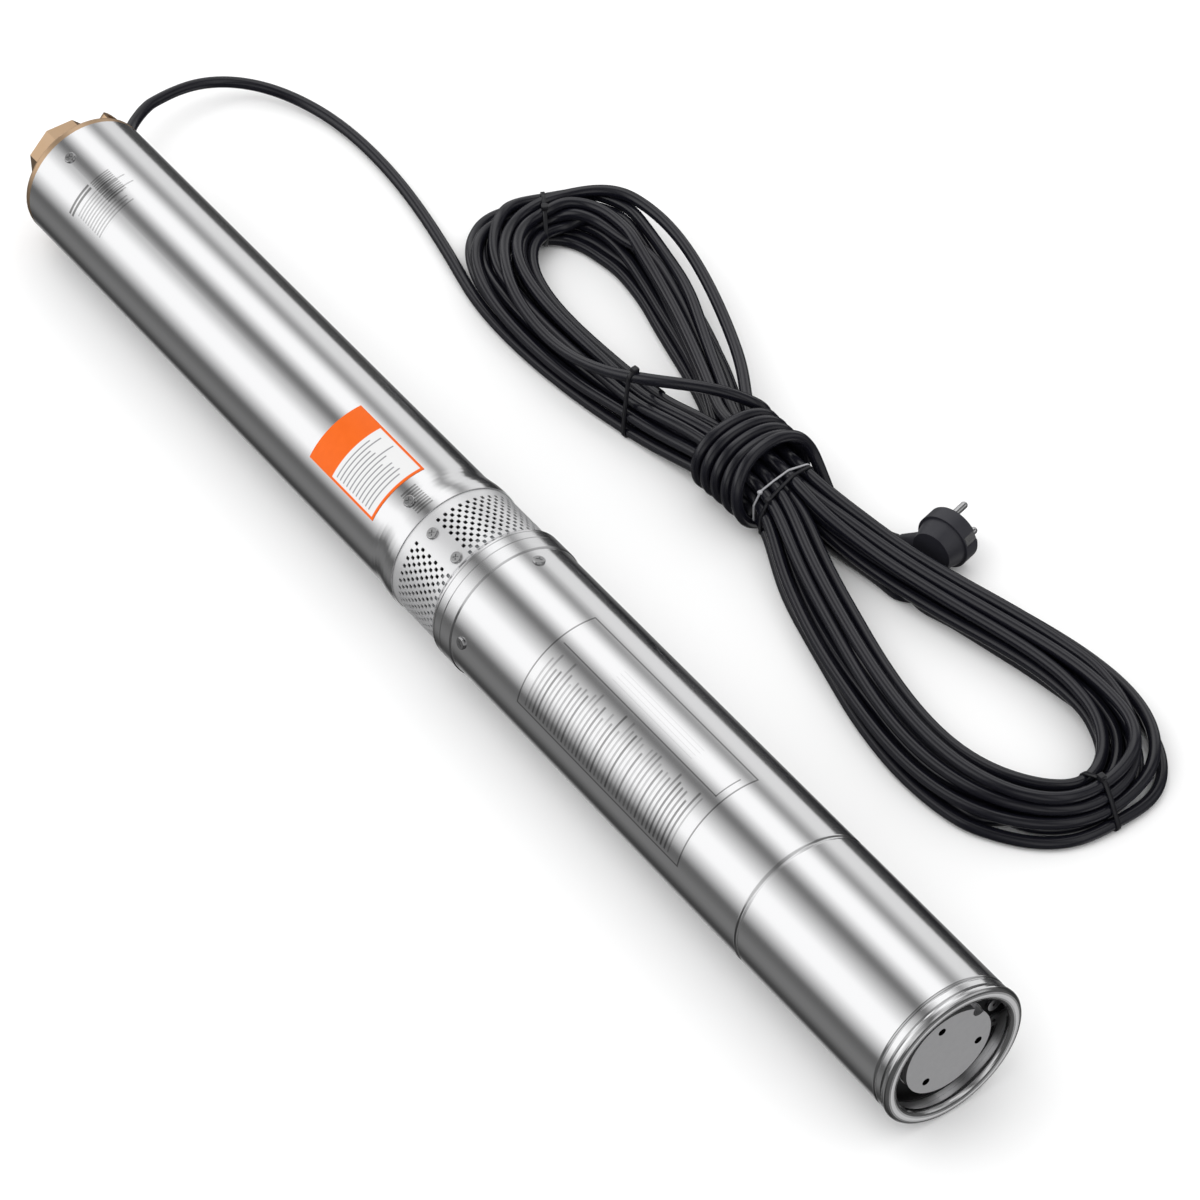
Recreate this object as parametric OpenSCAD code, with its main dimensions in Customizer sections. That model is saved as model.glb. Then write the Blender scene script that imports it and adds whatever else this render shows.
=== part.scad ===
// Borehole pump lying on its side, with its mains lead put up as a hank.
// The pump axis runs along X: outlet at -X, motor foot at +X. Z is up.

/* [Motor] */
// Outside diameter of the motor shell
motor_d = 96; // [94:0.5:100]
// Wall of the motor shell
motor_wall = 1.4; // [1.2:0.1:1.8]
// Length of the motor shell
motor_len = 426; // [410:2:470]
// Outside diameter of the rolled rim at the motor foot
rim_d = 98; // [97.6:0.1:98]
// Length of the rolled rim
rim_len = 6; // [4:0.5:8]
// Bore of the rolled rim's inward flange
rim_bore = 80; // [76:1:84]
// Depth of the rolled grooves
groove_depth = 0.8; // [0.4:0.1:0.9]
// Width of the groove over the lower bracket
groove_w = 4; // [3:0.5:8]
// Width of the groove above the motor foot
foot_groove_w = 3; // [2:0.5:4]
// Distance of the bracket groove from the motor foot
groove_back = 140; // [130:1:150]
// Room from each end of the stator core to its bracket
core_room = 21.5; // [20.5:0.5:40]
// Bore of the stator core
core_bore = 54; // [50:1:56]
// Number of stator slots
slots = 24; // [18:6:30]
// Motor shaft diameter
motor_shaft_d = 17; // [15:0.5:18]
// Width of a ball bearing
bearing_w = 12; // [10:1:13]
// Outside diameter of a ball bearing
bearing_d = 40; // [36:1:42]
// Diameter of the start capacitor
cap_d = 45; // [35:1:50]
// Length of the start capacitor
cap_len = 82; // [60:1:90]

/* [Motor foot] */
// Diameter of the end plate's raised face
foot_face_d = 60; // [54:1:64]
// Depth of that face below the rim
foot_recess = 6; // [4:0.5:8]
// Pitch circle of the three blind holes
foot_pcd = 44; // [40:1:48]
// Diameter of those holes
foot_hole_d = 5; // [4:0.5:6]

/* [Inlet] */
// Outside diameter of the motor's top ring
ring_d = 98; // [97.6:0.1:98]
// Length of that ring
ring_len = 19; // [16:0.5:24]
// Length of the cone that leads up to it
cone_len = 2.5; // [1.5:0.5:4]
// Outside diameter of the strainer
strainer_d = 93.2; // [92:0.2:94]
// Wall of the strainer
strainer_wall = 0.8; // [0.6:0.1:1]
// Length of strainer that shows
strainer_len = 44; // [42:0.5:50]
// Diameter of an inlet hole
inlet_hole_d = 4; // [3:0.5:4.5]
// Rows of inlet holes
inlet_rows = 6; // [4:1:7]
// Half angle of the plain seam strip
seam_half = 13; // [10:1:16]

/* [Pump] */
// Outside diameter of the pump shell
pump_d = 91; // [90:0.5:92]
// Wall of the pump shell
pump_wall = 1.2; // [1:0.1:1.4]
// Length of the pump shell
pump_len = 432.5; // [420:2.5:470]
// Diameter of the flared skirt over the strainer
flare_d = 95; // [94.6:0.1:95.6]
// Length of the flare
flare_len = 24; // [20:1:28]
// Number of stages
stages = 7; // [5:1:8]
// Length of the inlet bracket's ring below the last stage
inlet_ring_len = 27.3; // [24:0.1:36]
// Impeller diameter
impeller_d = 62; // [56:1:66]
// Impeller eye diameter
eye_d = 33; // [28:1:36]
// Vanes in an impeller
impeller_vanes = 6; // [5:1:8]
// Vanes in a diffuser
diffuser_vanes = 7; // [5:1:9]
// Pump shaft diameter
pump_shaft_d = 14; // [12:0.5:15]

/* [Discharge head] */
// How far the head stands out of the shell
head_len = 34; // [32:1:40]
// Diameter of the head's collar
collar_d = 91; // [90:0.5:92]
// Length of the collar
collar_len = 5.5; // [5:0.5:8]
// Width across the flats of the outlet boss
boss_af = 48; // [46:1:52]
// Core diameter of the outlet thread
outlet_d = 38.95; // [38.5:0.05:39.5]
// Length of the outlet thread
outlet_thread = 20; // [18:1:22]
// Depth of the head inside the shell
spigot_len = 40; // [40:1:46]
// Hole in each rope lug
rope_hole_d = 6; // [5:0.5:7]
// Opening travel of the check valve
valve_travel = 8; // [6:0.5:9]

/* [Lead] */
// Outside diameter of the mains lead
cord_d = 8; // [7.6:0.1:8.2]
// Clear height of the lead over the pump shell
lead_clear = 5.4; // [5.2:0.1:6]
// Angle of the cable guard, from +Y towards +Z
guard_turn = -20; // [-24:1:-19]
// Centre distance of neighbouring turns in the hank
hank_step = 8.6; // [8.5:0.05:9]
// Turns of the binding round the hank's waist
wrap_turns = 6; // [5:1:7]
// Diameter of the plug's face
plug_d = 38; // [36:0.5:40]
// Depth of the plug's body
plug_depth = 23; // [21:0.5:24]

/* [Hidden] */

$fn = 96;
slip = 0.1;      // assembly clearance between fixed pieces
run = 0.05;      // radial clearance of a running fit
seat = 0.3;      // gap between pieces of different bodies that rest on each other
press = 0.02;    // radial clearance of pieces pressed onto each other
eps = 0.5;       // cutters pass through by this much

// Stations along the axis, from the motor foot to the outlet
total_len = motor_len + ring_len + cone_len + strainer_len + pump_len + head_len;
axis_h = max(rim_d, ring_d) / 2;
x_foot = total_len / 2;
x_motor = x_foot - motor_len;            // top edge of the motor shell
x_ring = x_motor - ring_len;             // face of the top ring
x_cone = x_ring - cone_len;              // end of the strainer
x_skirt = x_cone - strainer_len;         // lower edge of the pump shell
x_shell = x_skirt - pump_len;            // upper edge of the pump shell
x_outlet = -x_foot;
x_collar = x_shell - collar_len;

motor_r = motor_d / 2;
motor_in_r = motor_r - motor_wall;       // bore of the motor shell
pump_r = pump_d / 2;
pump_in_r = pump_r - pump_wall;          // bore of the pump shell
strainer_r = strainer_d / 2;
strainer_in_r = strainer_r - strainer_wall;
stack_r = pump_in_r - slip;              // what slides into the pump shell
frame_r = motor_in_r - slip;             // what slides into the motor shell
msr = motor_shaft_d / 2;
psr = pump_shaft_d / 2;

// Clock angles round the axis, from +Y towards +Z
shell_screw_turn = 117;
strainer_screw_turn = 121.5;
ring_screw_turn = 77.5;
foot_hole_turn = 106;
rope_lug_turn = 47;
shell_screw_in = 16.7;      // from each end of the pump shell
ring_screw_in = 10;         // below the top edge of the motor shell

// The lead runs along the pump at this radius, clear of the shell and of the top ring
ring_over = 3.5;            // the top ring stands this far over the pump shell
lead_at = lead_clear + cord_d / 2 + max(pump_r, ring_d / 2 - ring_over);
gland_r = 6;
gland_wall = 2;
// Sets the middle of the pump, with the gland's boss, over the origin
axis_y = (axis_h - lead_at * cos(guard_turn) - gland_r - gland_wall) / 2;

module on_axis(x) translate([x, axis_y, axis_h]) rotate([0, 90, 0]) children();
module clock(a) rotate([0, 0, a + 90]) children();
module tube(r_out, r_in, z0, z1) rotate_extrude()
    polygon([[r_in, z0], [r_out, z0], [r_out, z1], [r_in, z1]]);

// A pan-head screw at clock angle a, its head seated at radius r
screw_r = 2;
screw_deep = 8;
screw_head_r = 4;
screw_head_h = 1.4;
screw_round = 0.9;
recess_w = 0.8;              // cross recess
module radial(x, a, r) on_axis(x) clock(a) translate([r, 0, 0]) rotate([0, 90, 0]) children();
module screw(x, a, r, deep) radial(x, a, r) difference() {
    union() {
        translate([0, 0, -deep]) cylinder(r = screw_r, h = deep + eps, $fn = 24);
        rotate_extrude($fn = 32) polygon(concat([[0, run], [screw_head_r, run]],
            [for (t = [0:15:90]) [screw_head_r - screw_round * (1 - cos(t)),
                screw_head_h - screw_round * (1 - sin(t))]], [[0, screw_head_h]]));
    }
    for (q = [45, 135]) rotate([0, 0, q]) translate([-screw_r, -recess_w / 2, screw_head_h / 2])
        cube([2 * screw_r, recess_w, screw_head_h]);
}
module screw_hole(x, a, r, deep) radial(x, a, r)
    translate([0, 0, -deep]) cylinder(r = screw_r + slip, h = deep + 2 * screw_r, $fn = 24);

// ---------------------------------------------------------------- discharge head
boss_len = 23;
shoulder_len = head_len - collar_len - boss_len;
chamber_r = 25;
x_spigot = x_shell + spigot_len;
seal_x = 12;                 // seal groove, behind the shell's edge
seal_r = 1.6;
shoulder_r = 31;             // round step that the octagon stands on
lug_r = 6.5;
lug_t = 6;                   // lug thickness, along its radius
lug_at = 39;                 // radius of the lug's middle
lug_x = x_collar - lug_r - 1;
round_r = 2;                 // rounding of the collar's and the shoulder's edges
port_step = 2;               // the outlet narrows by this behind its thread
thread_lead = 1.5;           // chamfer at the outlet's mouth

module octagon(af, h) linear_extrude(height = h) polygon([for (k = [0:7])
    af / 2 / cos(22.5) * [cos(45 * k + 22.5), sin(45 * k + 22.5)]]);

module rope_lugs() for (a = [rope_lug_turn, rope_lug_turn + 180]) on_axis(lug_x) clock(a)
    translate([lug_at - lug_t / 2, 0, 0]) rotate([0, 90, 0]) difference() {
        union() {
            cylinder(r = lug_r, h = lug_t, $fn = 40);
            translate([-lug_r - 1.5, -lug_r, 0]) cube([lug_r + 1.5, 2 * lug_r, lug_t]);
        }
        translate([0, 0, -eps]) cylinder(r = rope_hole_d / 2, h = lug_t + 2 * eps, $fn = 40);
    }

module discharge_head() color("#c79a55") {
    difference() {
        union() {
            on_axis(x_collar) rotate_extrude() polygon(concat([[0, -shoulder_len]],
                [for (t = [0:30:90]) [shoulder_r - round_r * (1 - sin(t)),
                    round_r * (1 - cos(t)) - shoulder_len]],
                [[shoulder_r, 0]],
                [for (t = [0:30:90]) [collar_d / 2 - round_r * (1 - sin(t)),
                    round_r * (1 - cos(t))]],
                [[collar_d / 2, collar_len], [stack_r, collar_len],
                 [stack_r, collar_len + spigot_len], [0, collar_len + spigot_len]]));
            on_axis(x_outlet) octagon(boss_af, boss_len + 1);
        }
        on_axis(x_outlet) translate([0, 0, -eps])
            cylinder(r = outlet_d / 2, h = outlet_thread + eps);
        on_axis(x_outlet) cylinder(r = outlet_d / 2 - port_step, h = head_len + 8);
        on_axis(x_shell + 3) cylinder(r = chamber_r, h = spigot_len);
        on_axis(x_outlet) translate([0, 0, -0.01])
            cylinder(r1 = outlet_d / 2 + thread_lead, r2 = outlet_d / 2, h = thread_lead);
        on_axis(x_shell + seal_x) tube(stack_r + 1, stack_r - 2 * seal_r, -seal_r, seal_r);
        for (k = [0:2])
            screw_hole(x_shell + shell_screw_in, shell_screw_turn + 120 * k, pump_r, screw_deep);
    }
    rope_lugs();
}

module head_seal() color("#202022") on_axis(x_shell + seal_x) rotate_extrude()
    translate([stack_r - seal_r, 0]) circle(r = seal_r - slip, $fn = 24);

// ---------------------------------------------------------------- check valve
seat_len = 8;
seat_bore = 15;
x_seat = x_spigot;                       // upper face of the valve seat
poppet_r = 19;
poppet_len = 5;
stem_r = 3.5;
lip = 3;                     // rim round the seat's lower face
spring_room = 12.2;          // length of the spring with the valve full open
arm_t = 3;
hub_r = 7;
guide_len = 8;
x_poppet = x_seat - seat - poppet_len;   // back of the poppet's disc
x_spread = x_poppet - valve_travel - spring_room;   // lower face of the valve guide
spring_r = 5.5;
spring_wire = 1.2;

module valve_seat() color("#b9bdc0") on_axis(x_seat) difference() {
    cylinder(r = stack_r, h = seat_len);
    translate([0, 0, -eps]) cylinder(r = seat_bore, h = seat_len + 2 * eps);
    translate([0, 0, seat_len - lip]) cylinder(r = seat_bore + 2 * lip, h = lip + eps);
}

module valve_guide() color("#d8d4c4") on_axis(x_spread - guide_len) difference() {
    union() {
        cylinder(r = hub_r, h = guide_len, $fn = 48);
        for (k = [0:2]) rotate([0, 0, 120 * k]) translate([0, -arm_t / 2, 0])
            cube([chamber_r - slip - run, arm_t, guide_len]);
    }
    translate([0, 0, -eps]) cylinder(r = stem_r + run, h = guide_len + 2 * eps, $fn = 48);
}

module valve_poppet() color("#3a3c40") {
    on_axis(x_poppet) cylinder(r = poppet_r, h = poppet_len);
    on_axis(x_spread - guide_len - 1)
        cylinder(r = stem_r, h = x_poppet - x_spread + guide_len + 2, $fn = 48);
    // Boss that enters the seat's bore
    on_axis(x_seat - seat - 1) cylinder(r = seat_bore - 2, h = seat_len / 2);
}

// ---------------------------------------------------------------- swept tubes
function unit(v) = v / norm(v);
function tangent(p, i) = unit(p[min(i + 1, len(p) - 1)] - p[max(i - 1, 0)]);
// Each ring's first axis is the last ring's, made square to the new tangent
function carry(a, t) = unit(a - (a * t) * t);
function axes(p, i, a) = i == len(p) ? [] :
    let(b = carry(a, tangent(p, i))) concat([b], axes(p, i + 1, b));
function ring(c, u, w, r, n) = [for (k = [0:n - 1])
    c + r * cos(360 * k / n) * u + r * sin(360 * k / n) * w];
module sweep(p, r, n, first = [0, 0, 1]) {
    u = axes(p, 0, first);
    m = len(p);
    pts = [for (i = [0:m - 1]) each ring(p[i], u[i], cross(tangent(p, i), u[i]), r, n)];
    side = [for (i = [0:m - 2], k = [0:n - 1]) let(a = i * n + k, b = i * n + (k + 1) % n)
        each [[a, a + n, b], [b, a + n, b + n]]];
    caps = [for (k = [1:n - 2]) each [[0, k, k + 1],
        [(m - 1) * n, (m - 1) * n + k + 1, (m - 1) * n + k]]];
    polyhedron(points = pts, faces = concat(side, caps));
}
// A smooth curve through hand-placed points, `cuts` steps to a span
function blend(p, i, t) = let(a = p[max(i - 1, 0)], b = p[i], c = p[i + 1],
    d = p[min(i + 2, len(p) - 1)])
    0.5 * ((2 * b) + (c - a) * t + (2 * a - 5 * b + 4 * c - d) * t * t
        + (3 * b - a - 3 * c + d) * t * t * t);
function smooth(p, cuts) = concat([for (i = [0:len(p) - 2], k = [0:cuts - 1])
    blend(p, i, k / cuts)], [p[len(p) - 1]]);

spring_len = x_poppet - x_spread - 2 * seat - spring_wire;
spring_turns = 3;
function spring_pt(k) = [x_spread + seat + spring_wire / 2 + spring_len * k / (8 * spring_turns),
    axis_y + spring_r * cos(45 * k), axis_h + spring_r * sin(45 * k)];
module valve_spring() color("#aab0b4")
    sweep([for (k = [0:8 * spring_turns]) spring_pt(k)], spring_wire / 2, 6, [1, 0, 0]);

// ---------------------------------------------------------------- pump shell and stages
curve_len = 0.8 * flare_len; // the flare's curve; its edge below runs straight
flare_thin = 0.4;            // the wall thins by this where it is flared
module pump_shell() color("#c9ccce") difference() {
    on_axis(x_shell) rotate_extrude() polygon(concat(
        [[pump_in_r, 0], [pump_r, 0]],
        [for (t = [0:0.2:1]) [pump_r + (flare_d / 2 - pump_r) * (1 - cos(180 * t)) / 2,
            pump_len - flare_len + t * curve_len]],
        [[flare_d / 2, pump_len], [flare_d / 2 - pump_wall / 2, pump_len]],
        [for (t = [1:-0.2:0]) [pump_in_r + (flare_d - pump_d) / 2 * (1 - cos(180 * t)) / 2
            + flare_thin * t, pump_len - flare_len + 1 + t * curve_len]]));
    for (k = [0:2], x = [x_shell + shell_screw_in, x_skirt - shell_screw_in])
        screw_hole(x, shell_screw_turn + 120 * k, pump_r, screw_deep);
}

module shell_screws() color("#9a9ea2") for (k = [0:2]) {
    screw(x_shell + shell_screw_in, shell_screw_turn + 120 * k, pump_r, screw_deep - 1);
    screw(x_skirt - shell_screw_in, shell_screw_turn + 120 * k,
        skirt_r(shell_screw_in - screw_head_r), screw_deep - 1);
}
// Outside radius of the pump shell at a distance from its lower edge
function skirt_r(back) = let(t = max(0, min(1, (flare_len - back) / curve_len)))
    pump_r + (flare_d / 2 - pump_r) * (1 - cos(180 * t)) / 2;

x_stack = x_seat + seat_len;             // upper end of the stage stack
x_bracket = x_skirt - 0.3 * flare_len;   // lower face of the inlet bracket's ring
x_stack_end = x_bracket - inlet_ring_len;
stage_pitch = (x_stack_end - x_stack) / stages;
cup_wall = 2;
web = 2.5;                   // cover over the impeller's eye
cover_in = 3;                // the cover lies this far inside the casing's lower edge
guide_t = 3;                 // disc of the return guide
bush_r = psr + 3.5;
bush_len = 12;
impeller_r = impeller_d / 2;
impeller_h = 14;
disc_t = 2;
blade_t = 1.4;
hub_len = impeller_h + 1;
impeller_up = 23;            // impeller's back, from the casing's lower edge
guide_z = stage_pitch - impeller_up - 4 - guide_t;
diffuser_t = 1.6;
diffuser_len = 0.31 * stage_pitch;
function stage_x(k) = x_stack + (k - 1) * stage_pitch;

module stage_casing(k) color("#b4b8ba") on_axis(stage_x(k)) {
    cup_r = stack_r - cup_wall;
    // Cup with the cover over the impeller's eye
    rotate_extrude() polygon([[cup_r, 0], [stack_r, 0], [stack_r, stage_pitch],
        [cup_r, stage_pitch], [cup_r, stage_pitch - cover_in],
        [eye_d / 2 + 1, stage_pitch - cover_in], [eye_d / 2 + 1, stage_pitch - cover_in - web],
        [cup_r, stage_pitch - cover_in - web]]);
    // Return guide with the bush's seat
    difference() {
        union() {
            translate([0, 0, guide_z]) cylinder(r = impeller_r + 3, h = guide_t);
            translate([0, 0, guide_z + guide_t - bush_len])
                cylinder(r = bush_r + 3, h = bush_len, $fn = 48);
        }
        cylinder(r = bush_r + slip, h = stage_pitch, $fn = 48);
    }
    for (v = [0:diffuser_vanes - 1]) rotate([0, 0, 360 * v / diffuser_vanes + 5 * k])
        translate([impeller_r, -diffuser_t / 2, guide_z + guide_t / 2 - diffuser_len])
            cube([stack_r - cup_wall / 2 - impeller_r, diffuser_t, diffuser_len]);
}

module shaft_bushes() color("#2a2a2c") for (k = [1:stages])
    on_axis(stage_x(k) + guide_z + guide_t - bush_len) tube(bush_r, psr + run, 0, bush_len);

module impeller(k) color("#d9b25f") on_axis(stage_x(k + 1) - impeller_up) difference() {
    union() {
        cylinder(r = psr + 4, h = hub_len, $fn = 48);
        cylinder(r = impeller_r, h = disc_t);
        tube(impeller_r, eye_d / 2 - 1, impeller_h - disc_t, impeller_h);
        for (v = [0:impeller_vanes - 1]) rotate([0, 0, 360 * v / impeller_vanes])
            translate([eye_d / 2 - 4, 0, disc_t / 2]) rotate([0, 0, 35])
                cube([impeller_r - eye_d / 2, blade_t, impeller_h - disc_t]);
    }
    translate([0, 0, -eps]) cylinder(r = psr + press, h = hub_len + 2 * eps, $fn = 48);
}

x_shaft_top = x_stack + 4;
x_joint = x_cone - 18;                   // where the two shafts meet
module pump_shaft() color("#b8bcc0") on_axis(x_shaft_top)
    cylinder(r = psr, h = x_joint - x_shaft_top - 0.2);

// ---------------------------------------------------------------- inlet
bracket_wall = 10;
seat_ring = 6;               // the strainer's lower edge sits on a ring this long
inlet_bore = 30;             // radius of the opening below the last stage
post_r = 4;
module inlet_bracket() color("#8f9498") difference() {
    union() {
        // Ring inside the pump shell
        on_axis(x_stack_end) tube(stack_r, stack_r - bracket_wall, 0, inlet_ring_len);
        // Ring under the strainer's lower edge
        on_axis(x_cone - seat_ring) tube(strainer_in_r - slip, inlet_bore, 0,
            cone_len + seat_ring - slip);
        // Posts between the two rings
        for (k = [0:3]) on_axis(x_bracket - 1) clock(strainer_screw_turn + 90 * k)
            translate([stack_r - post_r - 2, 0, 0])
                cylinder(r = post_r, h = x_cone - x_bracket, $fn = 32);
    }
    for (k = [0:2])
        screw_hole(x_skirt - shell_screw_in, shell_screw_turn + 120 * k, pump_r, screw_deep);
    for (x = strainer_screw_x) screw_hole(x, strainer_screw_turn, strainer_r, screw_deep);
}

strainer_screw_x = [x_skirt + 13, x_skirt + 38.5];
strainer_lap = 3;            // length of strainer under the skirt
hole_pitch = (strainer_len - 5) / inlet_rows;
hole_turn = 8;
module strainer_screen() color("#c4c8ca") on_axis(x_skirt - strainer_lap) difference() {
    tube(strainer_r, strainer_r - strainer_wall, 0, strainer_len + strainer_lap);
    for (j = [0:inlet_rows - 1], q = [0, 180])
        for (a = [seam_half + 5 + (j % 2) * hole_turn / 2:hole_turn:180 - seam_half - 5])
            clock(strainer_screw_turn + q + a)
                translate([strainer_r - 3, 0, strainer_lap + 4 + hole_pitch * j])
                    rotate([0, 90, 0]) cylinder(r = inlet_hole_d / 2, h = 6, $fn = 16);
    for (x = strainer_screw_x) clock(strainer_screw_turn)
        translate([strainer_r - 3, 0, x - x_skirt + strainer_lap]) rotate([0, 90, 0])
            cylinder(r = screw_r + slip, h = 6, $fn = 24);
}
module strainer_screws() color("#9a9ea2") for (x = strainer_screw_x)
    screw(x, strainer_screw_turn, strainer_r, screw_deep - 2);

coupling_r = 14;
coupling_len = 40;
module shaft_coupling() color("#a2a6aa") on_axis(x_joint - coupling_len / 2) difference() {
    cylinder(r = coupling_r, h = coupling_len);
    translate([0, 0, -eps]) cylinder(r = psr + press, h = coupling_len / 2 + eps);
    translate([0, 0, coupling_len / 2]) cylinder(r = msr + press, h = coupling_len);
}

// ---------------------------------------------------------------- motor
bell_len = 50;               // the top bracket reaches this far into the motor shell
bell_floor = 6;              // and its upper face lies this far below the strainer
x_bell_end = x_motor + bell_len;
pocket = bearing_w + 3;
seal_pocket_r = 17;
seal_deep = 20;              // seal pocket below the motor's top edge
ring_edge = 0.8;             // broken edges of the top ring
ring_line = 0.4;             // depth and half width of the lines turned round it
ring_lines = [for (q = [0.12, 0.45]) cone_len + ring_len * q];
bell_wall = 3;               // wall left round the hollow in the lower face
bell_hollow = 20;
lead_deep = ring_len - 8;    // the lead ends this deep in the boss
module motor_top_bracket() color("#bdc1c4") difference() {
    union() {
        on_axis(x_cone) rotate_extrude() polygon(concat(
            [[inlet_bore, cone_len], [strainer_in_r, cone_len],
             [strainer_in_r, slip], [strainer_r, slip],
             [ring_d / 2 - ring_edge, cone_len], [ring_d / 2, cone_len + ring_edge]],
            [for (z = ring_lines, q = [-1:1])
                [ring_d / 2 - ring_line * (1 - abs(q)), z + ring_line * q]],
            [[ring_d / 2, cone_len + ring_len - ring_edge],
             [ring_d / 2 - ring_edge, cone_len + ring_len],
             [frame_r, cone_len + ring_len], [frame_r, cone_len + ring_len + bell_len],
             [0, cone_len + ring_len + bell_len], [0, cone_len + bell_floor],
             [inlet_bore, cone_len + bell_floor]]));
        // Boss for the lead's gland
        on_axis(x_ring) clock(guard_turn) translate([lead_at, 0, 0])
            cylinder(r = gland_r + gland_wall, h = ring_len - 1);
        on_axis(x_ring) clock(guard_turn) translate([ring_d / 2 - gland_r, -gland_r, 0])
            cube([lead_at - ring_d / 2 + gland_r, 2 * gland_r, ring_len - 1]);
    }
    on_axis(x_ring) cylinder(r = msr + 1, h = ring_len + bell_len + 1);
    on_axis(x_cone) cylinder(r = seal_pocket_r, h = x_motor + seal_deep - x_cone);
    on_axis(x_bell_end - pocket) cylinder(r = bearing_d / 2 + press, h = pocket + 1);
    on_axis(x_bell_end - bell_hollow)
        tube(frame_r - bell_wall, bearing_d / 2 + bell_wall + 1, 0, bell_hollow + 1);
    on_axis(x_ring - 1) clock(guard_turn) translate([lead_at, 0, 0])
        cylinder(r = cord_d / 2 + slip, h = lead_deep + 2, $fn = 48);
    for (k = [0:3])
        screw_hole(x_motor + ring_screw_in, ring_screw_turn + 90 * k, motor_r, screw_deep);
}
module ring_screws() color("#9a9ea2") for (k = [0:3])
    screw(x_motor + ring_screw_in, ring_screw_turn + 90 * k, motor_r, screw_deep - 1);

seal_seat_len = 8;
seal_ring_len = 14;
seal_x0 = x_motor + seal_deep - seal_seat_len;
module seal_seat() color("#4b4e55") on_axis(seal_x0)
    tube(seal_pocket_r - slip, msr + 1, 0, seal_seat_len - run);
module seal_ring() color("#23242a") on_axis(seal_x0 - seat - seal_ring_len)
    tube(seal_pocket_r - 4, msr + press, 0, seal_ring_len);

module bearing(r_in, r_out, w) rotate_extrude() polygon([[r_in, 0], [r_in + 3, 0],
    [r_in + 3.4, 0.5], [r_out - 3.4, 0.5], [r_out - 3, 0], [r_out, 0], [r_out, w],
    [r_out - 3, w], [r_out - 3.4, w - 0.5], [r_in + 3.4, w - 0.5], [r_in + 3, w], [r_in, w]]);
module upper_bearing() color("#8c9094") on_axis(x_bell_end - bearing_w - 2)
    bearing(msr + run, bearing_d / 2, bearing_w);

x_groove = x_foot - groove_back;
bracket_len = 26;
x_lower = x_groove - bracket_len / 2;    // upper face of the lower bracket
module lower_bearing() color("#8c9094") on_axis(x_lower + 3)
    bearing(msr + run, bearing_d / 2, bearing_w);
function groove(r, z, w) = [for (t = [-1:0.25:1])
    [r - groove_depth * (1 + cos(180 * t)) / 2, z + t * w / 2]];
module lower_bracket() color("#a3a7aa") on_axis(x_lower) difference() {
    rotate_extrude() polygon(concat([[0, 0], [frame_r, 0]],
        groove(frame_r, bracket_len / 2, groove_w), [[frame_r, bracket_len], [0, bracket_len]]));
    translate([0, 0, -eps]) cylinder(r = bearing_d / 2 + press, h = 3 + bearing_w + eps);
    translate([0, 0, -eps]) cylinder(r = msr + 1, h = 21);
    translate([0, 0, bracket_len - 3]) cylinder(r = cap_d / 2 + slip, h = 4);
    translate([0, 0, -eps]) tube(frame_r - 5, bearing_d / 2 + 5, 0, 12);
}

x_core = x_bell_end + core_room;
core_len = x_lower - x_core - core_room;
slot_w = 3.2;
slot_deep = 11;
module stator_core() color("#5f666e") on_axis(x_core) difference() {
    cylinder(r = frame_r, h = core_len);
    translate([0, 0, -eps]) cylinder(r = core_bore / 2, h = core_len + 2 * eps);
    for (k = [0:slots - 1]) rotate([0, 0, 360 * k / slots])
        translate([core_bore / 2 + 1.5, -slot_w / 2, -eps])
            cube([slot_deep, slot_w, core_len + 2 * eps]);
}
head_h = 16;
module stator_windings() color("#b5652b") on_axis(x_core) {
    for (z = [-head_h, core_len + 0.05]) rotate_extrude() translate([core_bore / 2 + 2, z])
        polygon([[0, 3], [3, 0], [slot_deep - 2, 0], [slot_deep + 1, 3],
            [slot_deep + 1, head_h - 0.05], [0, head_h - 0.05]]);
    for (k = [0:slots - 1]) rotate([0, 0, 360 * k / slots])
        translate([core_bore / 2 + 2.2, -slot_w / 2 + slip, -1])
            cube([slot_deep - 1, slot_w - 2 * slip, core_len + 2]);
}
gap = 0.4;
module motor_rotor() color("#7f868c") on_axis(x_core - 4) difference() {
    union() {
        translate([0, 0, 4]) cylinder(r = core_bore / 2 - gap, h = core_len);
        cylinder(r = core_bore / 2 - 3, h = core_len + 8);
    }
    translate([0, 0, -eps]) cylinder(r = msr + press, h = core_len + 10);
}
module motor_shaft() color("#b8bcc0") on_axis(x_joint)
    cylinder(r = msr, h = x_lower + 3 + bearing_w + 2 - x_joint);

x_cap = x_lower + bracket_len - 3;
module start_capacitor() color("#3b4a63") on_axis(x_cap) {
    cylinder(r = cap_d / 2, h = cap_len);
    for (s = [-1, 1]) translate([s * 8, -3, cap_len - eps]) cube([1, 6, 8]);
}

x_face = x_foot - foot_recess;           // raised face of the end plate
plate_len = 14;
flange_len = 7;
notch_turn = 47;             // clock angle of the notch in the raised face
notch_r = 4.5;
notch_deep = 6;
x_plate = x_face - plate_len;
module base_plate() color("#8d9092") difference() {
    union() {
        on_axis(x_plate) cylinder(r = frame_r, h = flange_len);
        on_axis(x_plate) cylinder(r = foot_face_d / 2, h = plate_len);
    }
    for (k = [0:2]) on_axis(x_face - 8) clock(foot_hole_turn + 120 * k)
        translate([foot_pcd / 2, 0, 0]) cylinder(r = foot_hole_d / 2, h = 9, $fn = 32);
    on_axis(x_face - notch_deep) clock(notch_turn) translate([foot_face_d / 2, 0, 0])
        cylinder(r = notch_r, h = notch_deep + 1, $fn = 40);
}
circlip_w = 1.5;
circlip_h = 5.5;             // height of its band
circlip_turn = 4;            // clock angle of its opening
eye_turn = 11;               // half the angle between its eyes
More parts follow.
